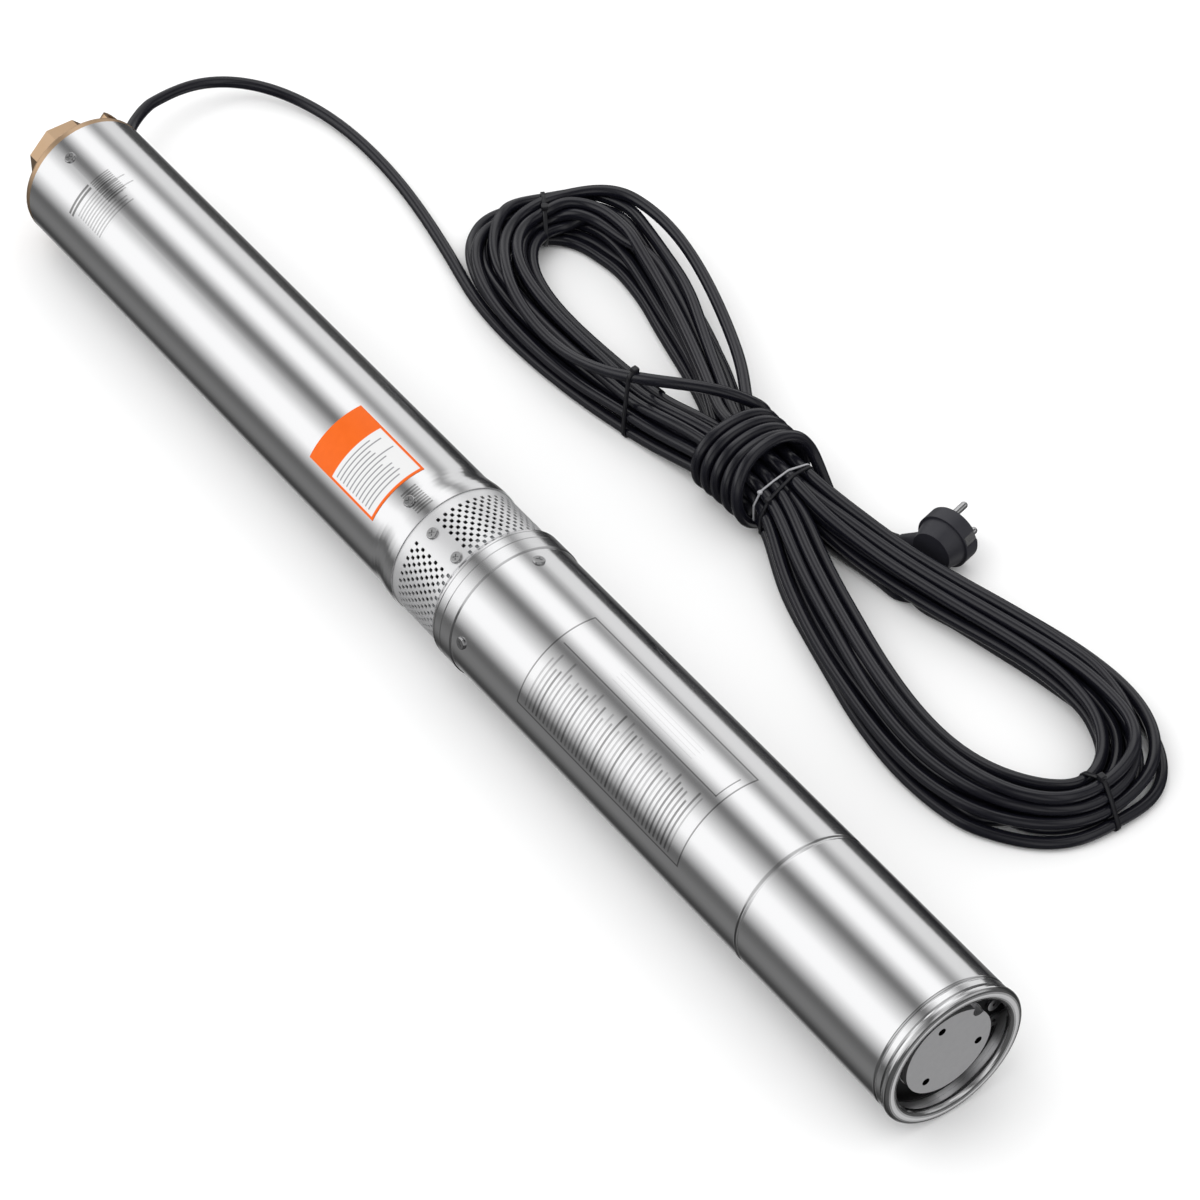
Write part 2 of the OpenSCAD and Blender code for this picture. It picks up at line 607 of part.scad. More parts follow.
eye_r = 4.5;
eye_hole_r = 1.25;
module base_circlip() color("#55585c") on_axis(x_plate + flange_len) {
    difference() {
        tube(frame_r, frame_r - circlip_h, 0, circlip_w);
        clock(circlip_turn) translate([0, -eye_r, -eps])
            cube([motor_r, 2 * eye_r, circlip_w + 2 * eps]);
    }
    for (s = [-1, 1]) clock(circlip_turn + eye_turn * s)
        translate([frame_r - 2 * eye_r, 0, 0]) difference() {
            cylinder(r = eye_r, h = circlip_w, $fn = 40);
            translate([0, 0, -eps]) cylinder(r = eye_hole_r, h = circlip_w + 2 * eps, $fn = 24);
        }
}
fold_r = frame_r - 14;       // middle of the diaphragm's fold
fold_half = 2;
film = 3;                    // thickness of the diaphragm
film_rise = 12;
module pressure_diaphragm() color("#26262a") on_axis(x_plate - film_rise - run) rotate_extrude()
    polygon([[0, 0], [fold_r, 0], [fold_r + 2 * fold_half, film_rise - film],
        [frame_r, film_rise - film], [frame_r, film_rise], [fold_r + fold_half, film_rise],
        [fold_r - fold_half, film], [0, film]]);

foot_groove_back = 12;
rim_bulge = 1.5;             // the rim stands out of the shell in this short curve
lip_t = 1.5;                 // edge of the rim's inward flange
hem_r = (rim_d + rim_bore) / 4;          // crown of the rim
module motor_shell() color("#c9ccce") difference() {
    on_axis(x_motor) rotate_extrude() polygon(concat(
        [[motor_in_r, 0], [motor_r, 0]],
        groove(motor_r, motor_len - groove_back, groove_w),
        groove(motor_r, motor_len - foot_groove_back, foot_groove_w),
        [[motor_r, motor_len - rim_len - 1]],
        [for (t = [-90:30:-30]) [rim_d / 2 - rim_bulge + rim_bulge * cos(t),
            motor_len - rim_len / 2 + rim_len / 2 * sin(t)]],
        [for (t = [0:15:180]) [hem_r + (rim_d / 2 - hem_r) * cos(t),
            motor_len - rim_len / 2 + rim_len / 2 * sin(t)]],
        [[rim_bore / 2, motor_len - rim_len / 2 - lip_t],
         [motor_in_r, motor_len - rim_len / 2 - lip_t]],
        [for (t = [1:-0.25:-1]) [motor_in_r - groove_depth * (1 + cos(180 * t)) / 2,
            motor_len - groove_back + t * groove_w / 2]]));
    for (k = [0:3])
        screw_hole(x_motor + ring_screw_in, ring_screw_turn + 90 * k, motor_r, screw_deep);
}

sticker_x = 31.5;            // lower edge of the label above the skirt's foot
sticker_len = 70;
sticker_turn = 119.6;
sticker_arc = 59.2;
module label_sticker() color("#ef7d3b") on_axis(x_skirt - sticker_x - sticker_len)
    clock(sticker_turn - sticker_arc / 2)
        rotate_extrude(angle = sticker_arc)
            translate([pump_r + 0.05, 0]) square([0.2, sticker_len]);

// ---------------------------------------------------------------- cable guard
guard_half = 7.5;
guard_wall = 1;
guard_top = lead_at + cord_d / 2 + guard_wall + 0.5;
x_guard = x_shell + 2;
x_guard_end = x_ring - 9;
guard_step_back = flare_len + 6;         // the legs are shorter from here on
flange_arc = 18;
module channel(foot, h) difference() {
    translate([foot, -guard_half, 0]) cube([guard_top - foot, 2 * guard_half, h]);
    translate([foot - 1, -guard_half + guard_wall, -eps])
        cube([guard_top - guard_wall - foot + 1, 2 * (guard_half - guard_wall), h + 2 * eps]);
}
x_step = x_skirt - guard_step_back;
x_flange = x_shell + 24;     // the foot flanges start past the shell's screws
rivet_x = [x_flange + 10, (x_flange + x_step) / 2, x_step - 10];
rivet_turn = 14;
rivet_r = 2.2;
rivet_h = 1.2;
module cable_guard() color("#c4c8ca") {
    on_axis(x_guard) clock(guard_turn) channel(pump_r + slip, x_step - x_guard);
    on_axis(x_step - 1) clock(guard_turn) channel(flare_d / 2 + slip, x_guard_end - x_step + 1);
    on_axis(x_flange) clock(guard_turn) difference() {
        rotate([0, 0, -flange_arc]) rotate_extrude(angle = 2 * flange_arc)
            translate([pump_r + slip, 0]) square([guard_wall, x_step - x_flange]);
        translate([0, -guard_half + guard_wall, -eps])
            cube([80, 2 * (guard_half - guard_wall), x_step - x_flange + 2 * eps]);
    }
}
module guard_rivets() color("#9a9ea2") for (x = rivet_x, s = [-1, 1])
    radial(x, guard_turn + rivet_turn * s, pump_r + slip + guard_wall)
        cylinder(r = rivet_r, h = rivet_h, $fn = 24);

gland_len = 6;
x_gland = x_ring - gland_len;
module guarded_lead() color("#2a2a30") on_axis(x_guard) clock(guard_turn)
    translate([lead_at, 0, 0]) cylinder(r = cord_d / 2, h = x_ring + lead_deep - x_guard, $fn = 32);
module cable_gland() color("#2e2e33") on_axis(x_gland) clock(guard_turn)
    translate([lead_at, 0, 0]) difference() {
        cylinder(r = gland_r, h = gland_len, $fn = 6);
        translate([0, 0, -eps]) cylinder(r = cord_d / 2 + slip, h = gland_len + 1, $fn = 32);
    }
relief_len = 22;
module lead_relief() color("#232327") on_axis(x_guard - relief_len) clock(guard_turn)
    translate([lead_at, 0, 0]) difference() {
        cylinder(r1 = cord_d / 2 + 1, r2 = cord_d / 2 + 3, h = relief_len, $fn = 32);
        translate([0, 0, -eps]) cylinder(r = cord_d / 2 + slip, h = relief_len + 1, $fn = 32);
    }

// ---------------------------------------------------------------- hank
cord_r = cord_d / 2;
waist = [10, 202.7];           // middle of the hank on the floor
lobe_right = 336;            // reach of the innermost turn to each side
lobe_left = 285.5;
waist_half = 1.7;            // the two runs nearly touch at the waist
layers = 4;
layer_turns = 3;
hank_turns = layers * layer_turns;
lean = 5;                    // the lobes lie askew by this much
sag = 10;                    // the right lobe's far side is drawn in by this much
lift = 11.5;                 // the waist rides on the binding
floor_gap = 1.6;             // the ties pass under the turns
// Swell of the innermost turn, from the waist (e = 0) to a lobe's end (e = 1)
function swell(e, right) = right ? 115.8 * pow(e, 1.417)
    : 71.2 * pow(e, 1.1) + 26 * pow(e, 8);
function hank_y(x) = waist[1] + (x < waist[0] ?
    0.1 * (sqrt(pow(x - waist[0], 2) + 1600) - 40) : 0);
function askew(c, e, far) = c < 0 ? lean * sin(180 * e) :
    lean * e - (far ? sag * sin(180 * e) : 0);
function inner(f) = let(c = cos(f), e = max(0, (abs(c) - 0.1) / 0.9),
    x = waist[0] + (c > 0 ? lobe_right : lobe_left) * c)
    [x, hank_y(x) + sin(f) * (waist_half + swell(e, c > 0)) + askew(c, e, sin(f) > 0)];
function outward(f) = let(t = unit(inner(f + 1) - inner(f - 1))) [t[1], -t[0]];
// Steps out from the innermost turn, for a turn count t: in, out, in, out
function lane(t) = t < 0 ? layer_turns - t :
    abs((t % (2 * layer_turns)) - layer_turns);
// A layer is climbed in the half turn round each reversal
function layer(t) = [for (m = [1:layers - 1])
    max(0, min(1, (t - layer_turns * m) / 0.5 + 0.5))] * [for (m = [1:layers - 1]) 1];
function ease(v) = let(w = max(0, min(1, v))) w * w * (3 - 2 * w);
function rise(x) = lift * (1 - ease((abs(x - waist[0]) - 45) / 95));
function hank_pt(t) = let(f = 360 * t - 90, p = inner(f) + lane(t) * hank_step * outward(f))
    [p[0], p[1], cord_r + floor_gap + hank_step * layer(t) + rise(p[0])];
// Ring angles in a quarter of a turn, close together round the lobes' ends
quarter = [5, 15, 26, 40, 56, 70, 84];
angles = concat([for (k = [6:-1:0]) -quarter[k]], quarter,
    [for (k = [6:-1:0]) 180 - quarter[k]], [for (q = quarter) 180 + q]);
rings = len(angles);
function ring_turn(n) = floor(n / rings) + (angles[n - rings * floor(n / rings)] + 90) / 360;
first_ring = -5;
last_ring = rings * (hank_turns - 1) + 25;
hank_raw = [for (n = [first_ring:last_ring]) hank_pt(ring_turn(n))];
hank_in = unit(hank_raw[1] - hank_raw[0]);
hank_out = unit(hank_raw[len(hank_raw) - 1] - hank_raw[len(hank_raw) - 2]);
hank_path = concat([hank_raw[0] - cord_d * hank_in], hank_raw,
    [hank_raw[len(hank_raw) - 1] + cord_d * hank_out]);
hank_end = hank_path[len(hank_path) - 1];
module cord_hank() color("#25252b") sweep(hank_path, cord_r, 6);

// ---------------------------------------------------------------- binding round the waist
wrap_a = 36.8;
wrap_b = 23.5;
wrap_mid = [waist[1] + 0.4, cord_r + floor_gap + lift + 1.5 * hank_step];
wrap_step = 10;
wrap_x = waist[0] - 35;
function sgn(v) = v < 0 ? -1 : 1;
function wrap_pt(a) = [wrap_x + wrap_step * (100 - a) / 360,
    wrap_mid[0] + wrap_a * sgn(cos(a)) * pow(abs(cos(a)), 0.4),
    wrap_mid[1] + wrap_b * sgn(sin(a)) * pow(abs(sin(a)), 0.4)];
wrap_helix = [for (k = [0:24 * wrap_turns + 2]) wrap_pt(100 - 15 * k)];
wrap_rise = [[-104, 162.7, 38], [-78, 168, 48.6], [-50, 175.7, 54]];
wrap_path = concat([hank_end, hank_end + cord_d * hank_out],
    smooth(concat([hank_end + 2 * cord_d * hank_out], wrap_rise, [wrap_helix[0]]), 3),
    [for (k = [1:len(wrap_helix) - 1]) wrap_helix[k]]);
wrap_last = wrap_path[len(wrap_path) - 1];
wrap_dir = unit(wrap_last - wrap_path[len(wrap_path) - 2]);
wrap_end = wrap_last + cord_d * wrap_dir;
module cord_wrap() color("#25252b") sweep(concat(wrap_path, [wrap_end]), cord_r, 6);

// ---------------------------------------------------------------- lead and tail
lead_out = [x_guard - relief_len, axis_y + lead_at * cos(guard_turn),
    axis_h + lead_at * sin(guard_turn)];
lead_route = [[-482, 49, 30], [-494, 56, 29], [-502.5, 66, 28], [-510, 78, 27],
    [-516, 92, 25.5], [-521.5, 108, 23], [-523.8, 130, 19], [-516, 152.5, 14],
    [-501, 170, 10], [-477, 182.5, 7], [-450, 190.5, 5], [-424, 193, 4.5],
    [-396, 192.5, 4.5], [-363, 190, 4.5], [-323, 183.5, 4.5]];
lead_path = concat([[x_guard, lead_out[1], lead_out[2]], lead_out],
    smooth(concat([lead_out - [cord_d, 0, 0]], lead_route,
    [hank_path[0] - cord_d * hank_in]), 2), [hank_path[0]]);
module cord_lead() color("#25252b") sweep(lead_path, cord_r, 10);

plug_turn = 105;             // the pins point this way, from +X towards +Y
plug_face = [130.7, 274];
plug_z = plug_d / 2 + 0.2;   // the face rests on the floor
entry_back = 15;             // cable entry behind the plug's face
entry_len = 14;              // it stands this far out of the plug
entry_root = plug_d / 2 - 6;
entry_r = cord_r + 1;
entry_root_r = 8;
entry_grip = 6;              // the lead is held this deep in it
entry_at = plug_d / 2 - 2 + entry_len;
entry_z = entry_r + slip;    // the entry points down to the floor
plug_roll = asin((plug_z - entry_z) / entry_at);
plug_pin = [cos(plug_turn), sin(plug_turn), 0];
plug_side = [-sin(plug_turn), cos(plug_turn), 0];
plug_entry = [plug_face[0], plug_face[1], plug_z] - entry_back * plug_pin
    + entry_at * (cos(plug_roll) * plug_side - sin(plug_roll) * [0, 0, 1]);
tail_route = [[58, 243.5, 36], [72, 248, 17]];
tail_path = concat([wrap_end], smooth(concat([wrap_end + cord_d * wrap_dir], tail_route,
    [plug_entry + 2 * cord_d * plug_side + [0, 0, slip], plug_entry]), 4));
module cord_tail() color("#25252b") sweep(tail_path, cord_r, 10);

// ---------------------------------------------------------------- ties
// Each lies between two ring angles, at a share of the way from the first
tie_at = [[-84, -70, 0.21], [84, 70, 0.21], [-5, 5, 0.5], [165, 175, 0.5], [250, 264, 0.15]];
tie_w = 3;
tie_wall = 1;
tie_clear = 0.5;
tie_r = layer_turns / 2 * hank_step;     // from the middle of an arm to its outer turns
tie_tall = (layers - 1) * hank_step + cord_d + 2 * tie_clear;
function arm_mid(f) = let(p = inner(f)) [each p + tie_r * outward(f),
    floor_gap + rise(p[0]) + tie_tall / 2 - tie_clear];
module cable_ties() color("#1c1c20") for (a = tie_at) {
    p = arm_mid(a[0]);
    q = arm_mid(a[1]);
    wide = 2 * (tie_r + cord_r + tie_clear);
    translate(p + a[2] * (q - p)) rotate([0, 0, atan2(q[1] - p[1], q[0] - p[0])])
        rotate([90, 0, 90]) translate([0, 0, -tie_w / 2]) difference() {
            linear_extrude(height = tie_w)
                square([wide + 2 * tie_wall, tie_tall + 2 * tie_wall], center = true);
            translate([0, 0, -eps]) linear_extrude(height = tie_w + 2 * eps)
                square([wide, tie_tall], center = true);
        }
}

// ---------------------------------------------------------------- plug
module plug_frame() translate([plug_face[0], plug_face[1], plug_z])
    rotate([90, 0, plug_turn + 90]) rotate([0, 0, -plug_roll]) children();
pin_r = 2.4;
pin_len = 19;
pin_deep = 12;               // the pins are moulded in this deep
pin_at = 9.5;
disc_len = 11;               // full-width part of the plug, behind its face
clip_w = 6;                  // an earth clip and the recess that it lies in
clip_len = 9.4;
clip_t = 1.4;
clip_room = 0.4;
clip_deep = 1.5 * clip_t + clip_room;
module plug_body() color("#232328") plug_frame() difference() {
    union() {
        translate([0, 0, -disc_len]) cylinder(r = plug_d / 2, h = disc_len);
        translate([0, 0, -plug_depth])
            cylinder(r1 = plug_d / 2 - 5, r2 = plug_d / 2 - 1.5, h = plug_depth - disc_len + 1);
        translate([entry_root, 0, -entry_back]) rotate([0, 90, 0])
            cylinder(r1 = entry_root_r, r2 = entry_r, h = entry_at - entry_root, $fn = 32);
    }
    for (s = [-1, 1]) translate([0, pin_at * s, -pin_deep - 2])
        cylinder(r = pin_r + press, h = pin_deep + 3, $fn = 32);
    for (s = [-1, 1]) translate([s * (plug_d - clip_deep + eps) / 2, 0, -clip_len / 2])
        cube([clip_deep + eps, clip_w + clip_room, clip_len + 2 * clip_room], center = true);
    translate([entry_at - entry_grip, 0, -entry_back]) rotate([0, 90, 0])
        cylinder(r = cord_r + slip, h = entry_grip + 1, $fn = 32);
}
module plug_pins() color("#c8ccd0") plug_frame() for (s = [-1, 1])
    translate([0, pin_at * s, -pin_deep]) {
        cylinder(r = pin_r, h = pin_deep + pin_len - pin_r, $fn = 32);
        translate([0, 0, pin_deep + pin_len - pin_r]) sphere(r = pin_r, $fn = 32);
    }
module earth_clips() color("#c8ccd0") plug_frame() for (s = [-1, 1])
    translate([s * (plug_d / 2 - clip_t), 0, -clip_len / 2]) cube([clip_t, clip_w, clip_len],
        center = true);

// ---------------------------------------------------------------- measures
function nearest(p, q, skip) = min([for (i = [0:len(p) - 1], j = [0:len(q) - 1])
    if (skip == 0 || j > i + skip) norm(p[i] - q[j])]);
function run_len(p) = [for (i = [1:len(p) - 1]) norm(p[i] - p[i - 1])]
    * [for (i = [1:len(p) - 1]) 1];
echo(hank_self_gap = nearest(hank_path, hank_path, 12) - cord_d);
echo(wrap_self_gap = nearest(wrap_path, wrap_path, 12) - cord_d);
echo(tail_low = min([for (q = tail_path) q[2]]) - cord_r, entry = plug_entry, roll = plug_roll);
echo(lengths = [run_len(lead_path), run_len(hank_path), run_len(wrap_path), run_len(tail_path)]);

discharge_head();
head_seal();
valve_seat();
valve_guide();
valve_poppet();
valve_spring();
pump_shell();
shell_screws();
for (k = [1:stages]) {
    stage_casing(k);
    impeller(k);
}
shaft_bushes();
pump_shaft();
inlet_bracket();
strainer_screen();
strainer_screws();
shaft_coupling();
cable_guard();
guard_rivets();
guarded_lead();
cable_gland();
lead_relief();
motor_top_bracket();
ring_screws();
seal_seat();
seal_ring();
upper_bearing();
stator_core();
stator_windings();
motor_rotor();
motor_shaft();
lower_bearing();
lower_bracket();
start_capacitor();
pressure_diaphragm();
base_plate();
base_circlip();
motor_shell();
label_sticker();
cord_lead();
cord_hank();
cord_wrap();
cord_tail();
cable_ties();
plug_body();
plug_pins();
earth_clips();
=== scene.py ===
# %% [markdown]
# # A borehole pump with its mains lead
# The pump is a slim steel tube: pump stages above, a perforated inlet in the
# middle and a motor below. It lies on a pale floor beside its own mains lead,
# which is folded into a hank and bound round the waist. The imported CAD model
# carries every rigid part, so this file adds what CAD is poor at: the cord's
# natural lie, the ties, the perforated sheet, the valve's spring, and the
# finish of every surface.

# %% Load the model and remember its size
import math

import bpy
import numpy as np
from mathutils import Matrix, Vector


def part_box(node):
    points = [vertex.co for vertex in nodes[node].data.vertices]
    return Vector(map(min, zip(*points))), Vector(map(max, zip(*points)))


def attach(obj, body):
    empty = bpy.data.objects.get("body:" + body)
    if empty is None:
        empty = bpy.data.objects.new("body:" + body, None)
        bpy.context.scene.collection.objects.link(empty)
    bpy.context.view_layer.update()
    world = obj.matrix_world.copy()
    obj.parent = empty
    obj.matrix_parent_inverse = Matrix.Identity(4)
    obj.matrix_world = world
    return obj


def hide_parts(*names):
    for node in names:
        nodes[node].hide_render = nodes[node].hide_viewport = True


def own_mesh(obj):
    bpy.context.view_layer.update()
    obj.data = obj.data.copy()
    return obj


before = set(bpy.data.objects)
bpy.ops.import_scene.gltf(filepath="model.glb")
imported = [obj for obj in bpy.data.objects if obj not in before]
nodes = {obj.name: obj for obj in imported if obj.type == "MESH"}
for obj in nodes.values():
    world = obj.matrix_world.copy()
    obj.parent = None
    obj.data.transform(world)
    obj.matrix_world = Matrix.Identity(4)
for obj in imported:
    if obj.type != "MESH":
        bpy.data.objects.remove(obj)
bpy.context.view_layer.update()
MM = 0.001
# The pump's axis, in metres
AXIS_Y, AXIS_Z = -0.005295, 0.049

# %% [markdown]
# ## The camera
# The pump is nearly a metre long and is seen from far off through a long
# lens, so its far end looks hardly smaller than its near end. A short lens
# close by would taper the tube. The camera looks down along the tube from
# above the motor's end.


# %% Camera
CAMERA_EYE = (1.7031, -1.1278, 2.0905)
CAMERA_WAY = (-0.56928, 0.40889, -0.71326)
CAMERA_UP = (-0.57931, 0.41609, 0.70090)


def aim(eye, forward, up):
    """The matrix of a camera or lamp at eye that looks forward."""
    back = -Vector(forward).normalized()
    right = Vector(up).cross(back).normalized()
    over = back.cross(right)
    turn = Matrix((right, over, back)).transposed().to_4x4()
    return Matrix.Translation(eye) @ turn


lens = bpy.data.cameras.new("long_lens")
lens.lens = 141.0
lens.sensor_width = 36.0
lens.clip_start, lens.clip_end = 0.1, 50.0
camera = bpy.data.objects.new("camera", lens)
bpy.context.scene.collection.objects.link(camera)
camera.matrix_world = aim(CAMERA_EYE, CAMERA_WAY, CAMERA_UP)
bpy.context.scene.camera = camera
print("camera at", [round(v, 3) for v in camera.location])

# %% [markdown]
# ## The mains lead
# One rubber cord leaves the pump, runs to the hank, makes twelve turns in it,
# binds the hank's waist and ends at the plug. The rules that lay the CAD
# turns lay these too: turns spiral in and out over four layers. A real hank
# is never that regular, so each turn gets its own wander from lane to lane,
# the upper turns lie askew at the left end, and one stands well apart.

# %% One turn of the hank, in millimetres
CORD_D = 8.0
CORD_R = CORD_D / 2
# The middle of the waist, and how far each lobe reaches from it
WAIST = (10.0, 202.7)
LOBE_RIGHT, LOBE_LEFT = 336.0, 285.5
# From one turn to the next, side by side or one above the other
STEP, TURNS_A_LAYER, LAYERS = 8.6, 3, 4
# The hank's rise at the waist, and its height over the floor elsewhere
LIFT, FLOOR_GAP = 8.5, 1.6
# How far the lobes lean to one side, and the right lobe's upper arm sags
LEAN, SAG = 5.0, 10.0


def inner_turn(f):
    """The innermost turn at ring angle f, in degrees."""
    c, s = np.cos(np.radians(f)), np.sin(np.radians(f))
    e = np.maximum(0, (np.abs(c) - 0.1) / 0.9)
    right = c > 0
    x = WAIST[0] + np.where(right, LOBE_RIGHT, LOBE_LEFT) * c
    swell = np.where(right, 115.8 * e**1.417, 71.2 * e**1.1 + 26 * e**8)
    bow = np.where(x < WAIST[0], 0.1 * (np.sqrt((x - WAIST[0]) ** 2 + 1600) - 40), 0)
    belly = np.sin(np.pi * e)
    askew = np.where(right, LEAN * e - np.where(s > 0, SAG * belly, 0), LEAN * belly)
    return np.stack([x, WAIST[1] + bow + s * (1.7 + swell) + askew], -1)


def outward(f):
    """The way out of the loop at ring angle f."""
    t = inner_turn(f + 1) - inner_turn(f - 1)
    t /= np.linalg.norm(t, axis=-1, keepdims=True)
    return np.stack([t[..., 1], -t[..., 0]], -1)


def lane(t):
    """How many steps turn t lies outside the innermost one: out and in again."""
    return np.where(t < 0, TURNS_A_LAYER - t, np.abs(t % (2 * TURNS_A_LAYER) - TURNS_A_LAYER))


def layer(t):
    """The layer that turn t lies in, from 0 at the floor."""
    return sum(np.clip((t - TURNS_A_LAYER * m) / 0.5 + 0.5, 0, 1) for m in range(1, LAYERS))


def rise(x):
    """How far the hank is lifted near its waist, by the binding under it."""
    w = np.clip((np.abs(x - WAIST[0] - 8) - 40) / 90, 0, 1)
    return LIFT * (1 - w * w * (3 - 2 * w))


def wander(t, seed, speed):
    """A smooth value near -1 to 1 that differs from each turn to the next."""
    rng = np.random.default_rng(seed)
    rates = speed * np.array([0.37, 0.61, 1.13, 1.71])
    return sum(
        a * np.sin(2 * np.pi * (r * t + p))
        for a, r, p in zip((0.5, 0.45, 0.3, 0.2), rates, rng.random(4))
    )


def hump(v, middle, half):
    """1 at the middle, easing to 0 at half away from it."""
    w = np.clip(1 - np.abs(v - middle) / half, 0, 1)
    return w * w * (3 - 2 * w)


# %% The whole hank
# How far a turn wanders to the side and up, in steps, and along the pump, in mm
SIDE, UP, SLIDE = 0.95, 0.6, 9.0
# Turns that stand apart: the turn's number, how wide the place is, how far out
STRAYS = ((11.61, 0.17, 1.7), (0.30, 0.09, 0.5), (6.30, 0.09, 0.4))
# Turns from this one on lie askew at the left end, by this much
ASKEW_FROM, ASKEW = 6.5, (12.0, 16.0)


def hank_route(t, loose=0.0):
    """The hank's turns t, neat at loose = 0 and as they fall at loose = 1."""
    f = 360 * t - 90
    p = inner_turn(f)
    cosf = np.cos(np.radians(f))
    far = np.abs(cosf)
    ease = np.clip((far - 0.08) / 0.5, 0, 1)
    side = lane(t) + SIDE * loose * wander(t, 3, 1.35) * ease
    side = side + (np.clip(side, 0.0, 3.1) - side) * loose
    side += loose * sum(out * hump(t, turn, half) for turn, half, out in STRAYS)
    xy = p + (side * STEP)[:, None] * outward(f)
    xy[:, 0] += loose * SLIDE * wander(t, 8, 0.5) * np.sign(cosf) * far**4
    left = np.where(cosf < 0, far, 0) ** 3 * loose * np.clip((t - ASKEW_FROM) / 2, 0, 1)
    xy += left[:, None] * np.array(ASKEW)
    up = layer(t) + UP * loose * wander(t, 5, 1.2) * ease
    z = CORD_R + FLOOR_GAP + STEP * up + rise(p[:, 0])
    return np.column_stack([xy, z])


def blend(points, cuts):
    """A smooth curve through the points."""
    p = np.vstack([points[0], points, points[-1]])
    t = (np.arange(cuts) / cuts)[:, None]
    out = []
    for i in range(1, len(p) - 2):
        a, b, c, d = p[i - 1], p[i], p[i + 1], p[i + 2]
        out.append(
            0.5 * (2 * b + (c - a) * t + (2 * a - 5 * b + 4 * c - d) * t**2
                   + (3 * b - a - 3 * c + d) * t**3)
        )
    return np.vstack([*out, p[-1][None]])


def heading(a, b):
    """The unit way from point a to point b."""
    return (b - a) / np.linalg.norm(b - a)


# The hank's two ends, counted in turns from the waist's near side
FIRST_TURN, LAST_TURN = -0.17778, 11.90556
turns = np.linspace(FIRST_TURN, LAST_TURN, 6000)
neat = hank_route(turns)
loose = hank_route(turns, 1.0)
hank_in, hank_out = heading(neat[0], neat[1]), heading(neat[-2], neat[-1])
print("hank turns", round(LAST_TURN - FIRST_TURN, 2))

# %% [markdown]
# From the relief at the cable guard's end the lead swings round in one wide
# bow and meets the hank on the floor. After its last turn the cord climbs
# over the arm and binds the waist in close oval turns that lean more and
# more. Its end runs along the floor into the plug.

# %% The lead, the binding and the tail
# Where the lead leaves the relief: its angle and distance about the axis
GUARD_TURN = math.radians(-20)
LEAD_X, LEAD_AT = -465.0, 54.9
lead_out = np.array([
    LEAD_X,
    AXIS_Y / MM + LEAD_AT * math.cos(GUARD_TURN),
    AXIS_Z / MM + LEAD_AT * math.sin(GUARD_TURN),
])
LEAD_ROUTE = [
    [-482, 49, 30], [-494, 56, 29], [-502.5, 66, 28], [-510, 78, 27], [-516, 92, 25.5],
    [-521.5, 108, 23], [-523.8, 130, 19], [-516, 152.5, 14], [-501, 170, 10], [-477, 182.5, 7],
    [-450, 190.5, 5], [-424, 193, 4.5], [-396, 192.5, 4.5], [-363, 190, 4.5], [-323, 183.5, 4.5],
]
CUTS = 8
lead_start, lead_end = lead_out - [CORD_D, 0, 0], neat[0] - 2 * CORD_D * hank_in
lead = blend(np.vstack([lead_out, lead_start, LEAD_ROUTE, lead_end]), CUTS)

# The binding: an oval helix about the waist, whose turns lean more and more
WRAP_TURNS, WRAP_PITCH, WRAP_X = 5, 8.0, -14
WRAP_A, WRAP_B = 34.0, 23.0
WRAP_MID = (204.5, 27.5)
# Below 1, the oval has flatter sides
FLAT = 0.85
# The lean of the first turn, and what the last one adds to it
LEAN_FIRST, LEAN_MORE = 5, 19
# The last turns stand this far off the bundle at its top
SLACK = 3
# Degrees turned, from where the climb arrives to where the tail leaves
turned = np.arange(50, 360 * WRAP_TURNS + 96, 5.0)
a = np.radians(100 - turned)
last = turned / turned[-1]
slack = np.clip((turned - turned[-1] + 330) / 240, 0, 1)
lean = (LEAN_FIRST + LEAN_MORE * last**1.5) * (1 + np.cos(a + math.radians(120))) / 2
tall = WRAP_B + SLACK * slack
wrap = np.column_stack([
    WRAP_X + WRAP_PITCH * turned / 360 + lean,
    WRAP_MID[0] + WRAP_A * np.sign(np.cos(a)) * np.abs(np.cos(a)) ** FLAT,
    WRAP_MID[1] + SLACK * slack + tall * np.sign(np.sin(a)) * np.abs(np.sin(a)) ** FLAT,
])
hank_end = neat[-1] + CORD_D * hank_out
CLIMB_ROUTE = [[-104, 165, 40], [-79, 172, 49], [-58, 184, 54], [-40, 200, 57], [-26, 217, 55]]
climb = blend(np.vstack([hank_end + CORD_D * hank_out, CLIMB_ROUTE, wrap[0]]), CUTS)

PLUG_ENTRY = np.array([107.915, 252.366, 5.1])
ENTRY_WAY = np.array([0.87, 0.5, 0])
TAIL_ROUTE = [[50, 238, 10], [61, 237.5, 5], [74, 239, 4.3], [87, 243.3, 4.5]]
tail_start = wrap[-1] + CORD_D * heading(wrap[-2], wrap[-1])
tail = blend(np.vstack([tail_start, TAIL_ROUTE, PLUG_ENTRY - CORD_D * ENTRY_WAY, PLUG_ENTRY]), CUTS)
print("binding turns", round((turned[-1] - turned[0]) / 360, 2))

# %% Join the stretches and space the points evenly
SPACING = 5.0
# The numbers of three of the stretches; the lead is 0 and the tail is 4
HANK, CLIMB, WRAP = 1, 2, 3


def even(points, spacing):
    """The same line with points at an even spacing."""
    d = np.linalg.norm(np.diff(points, axis=0), axis=1)
    s = np.concatenate([[0], np.cumsum(d)])
    u = np.linspace(0, s[-1], int(round(s[-1] / spacing)) + 1)
    return np.column_stack([np.interp(u, s, points[:, k]) for k in range(3)])


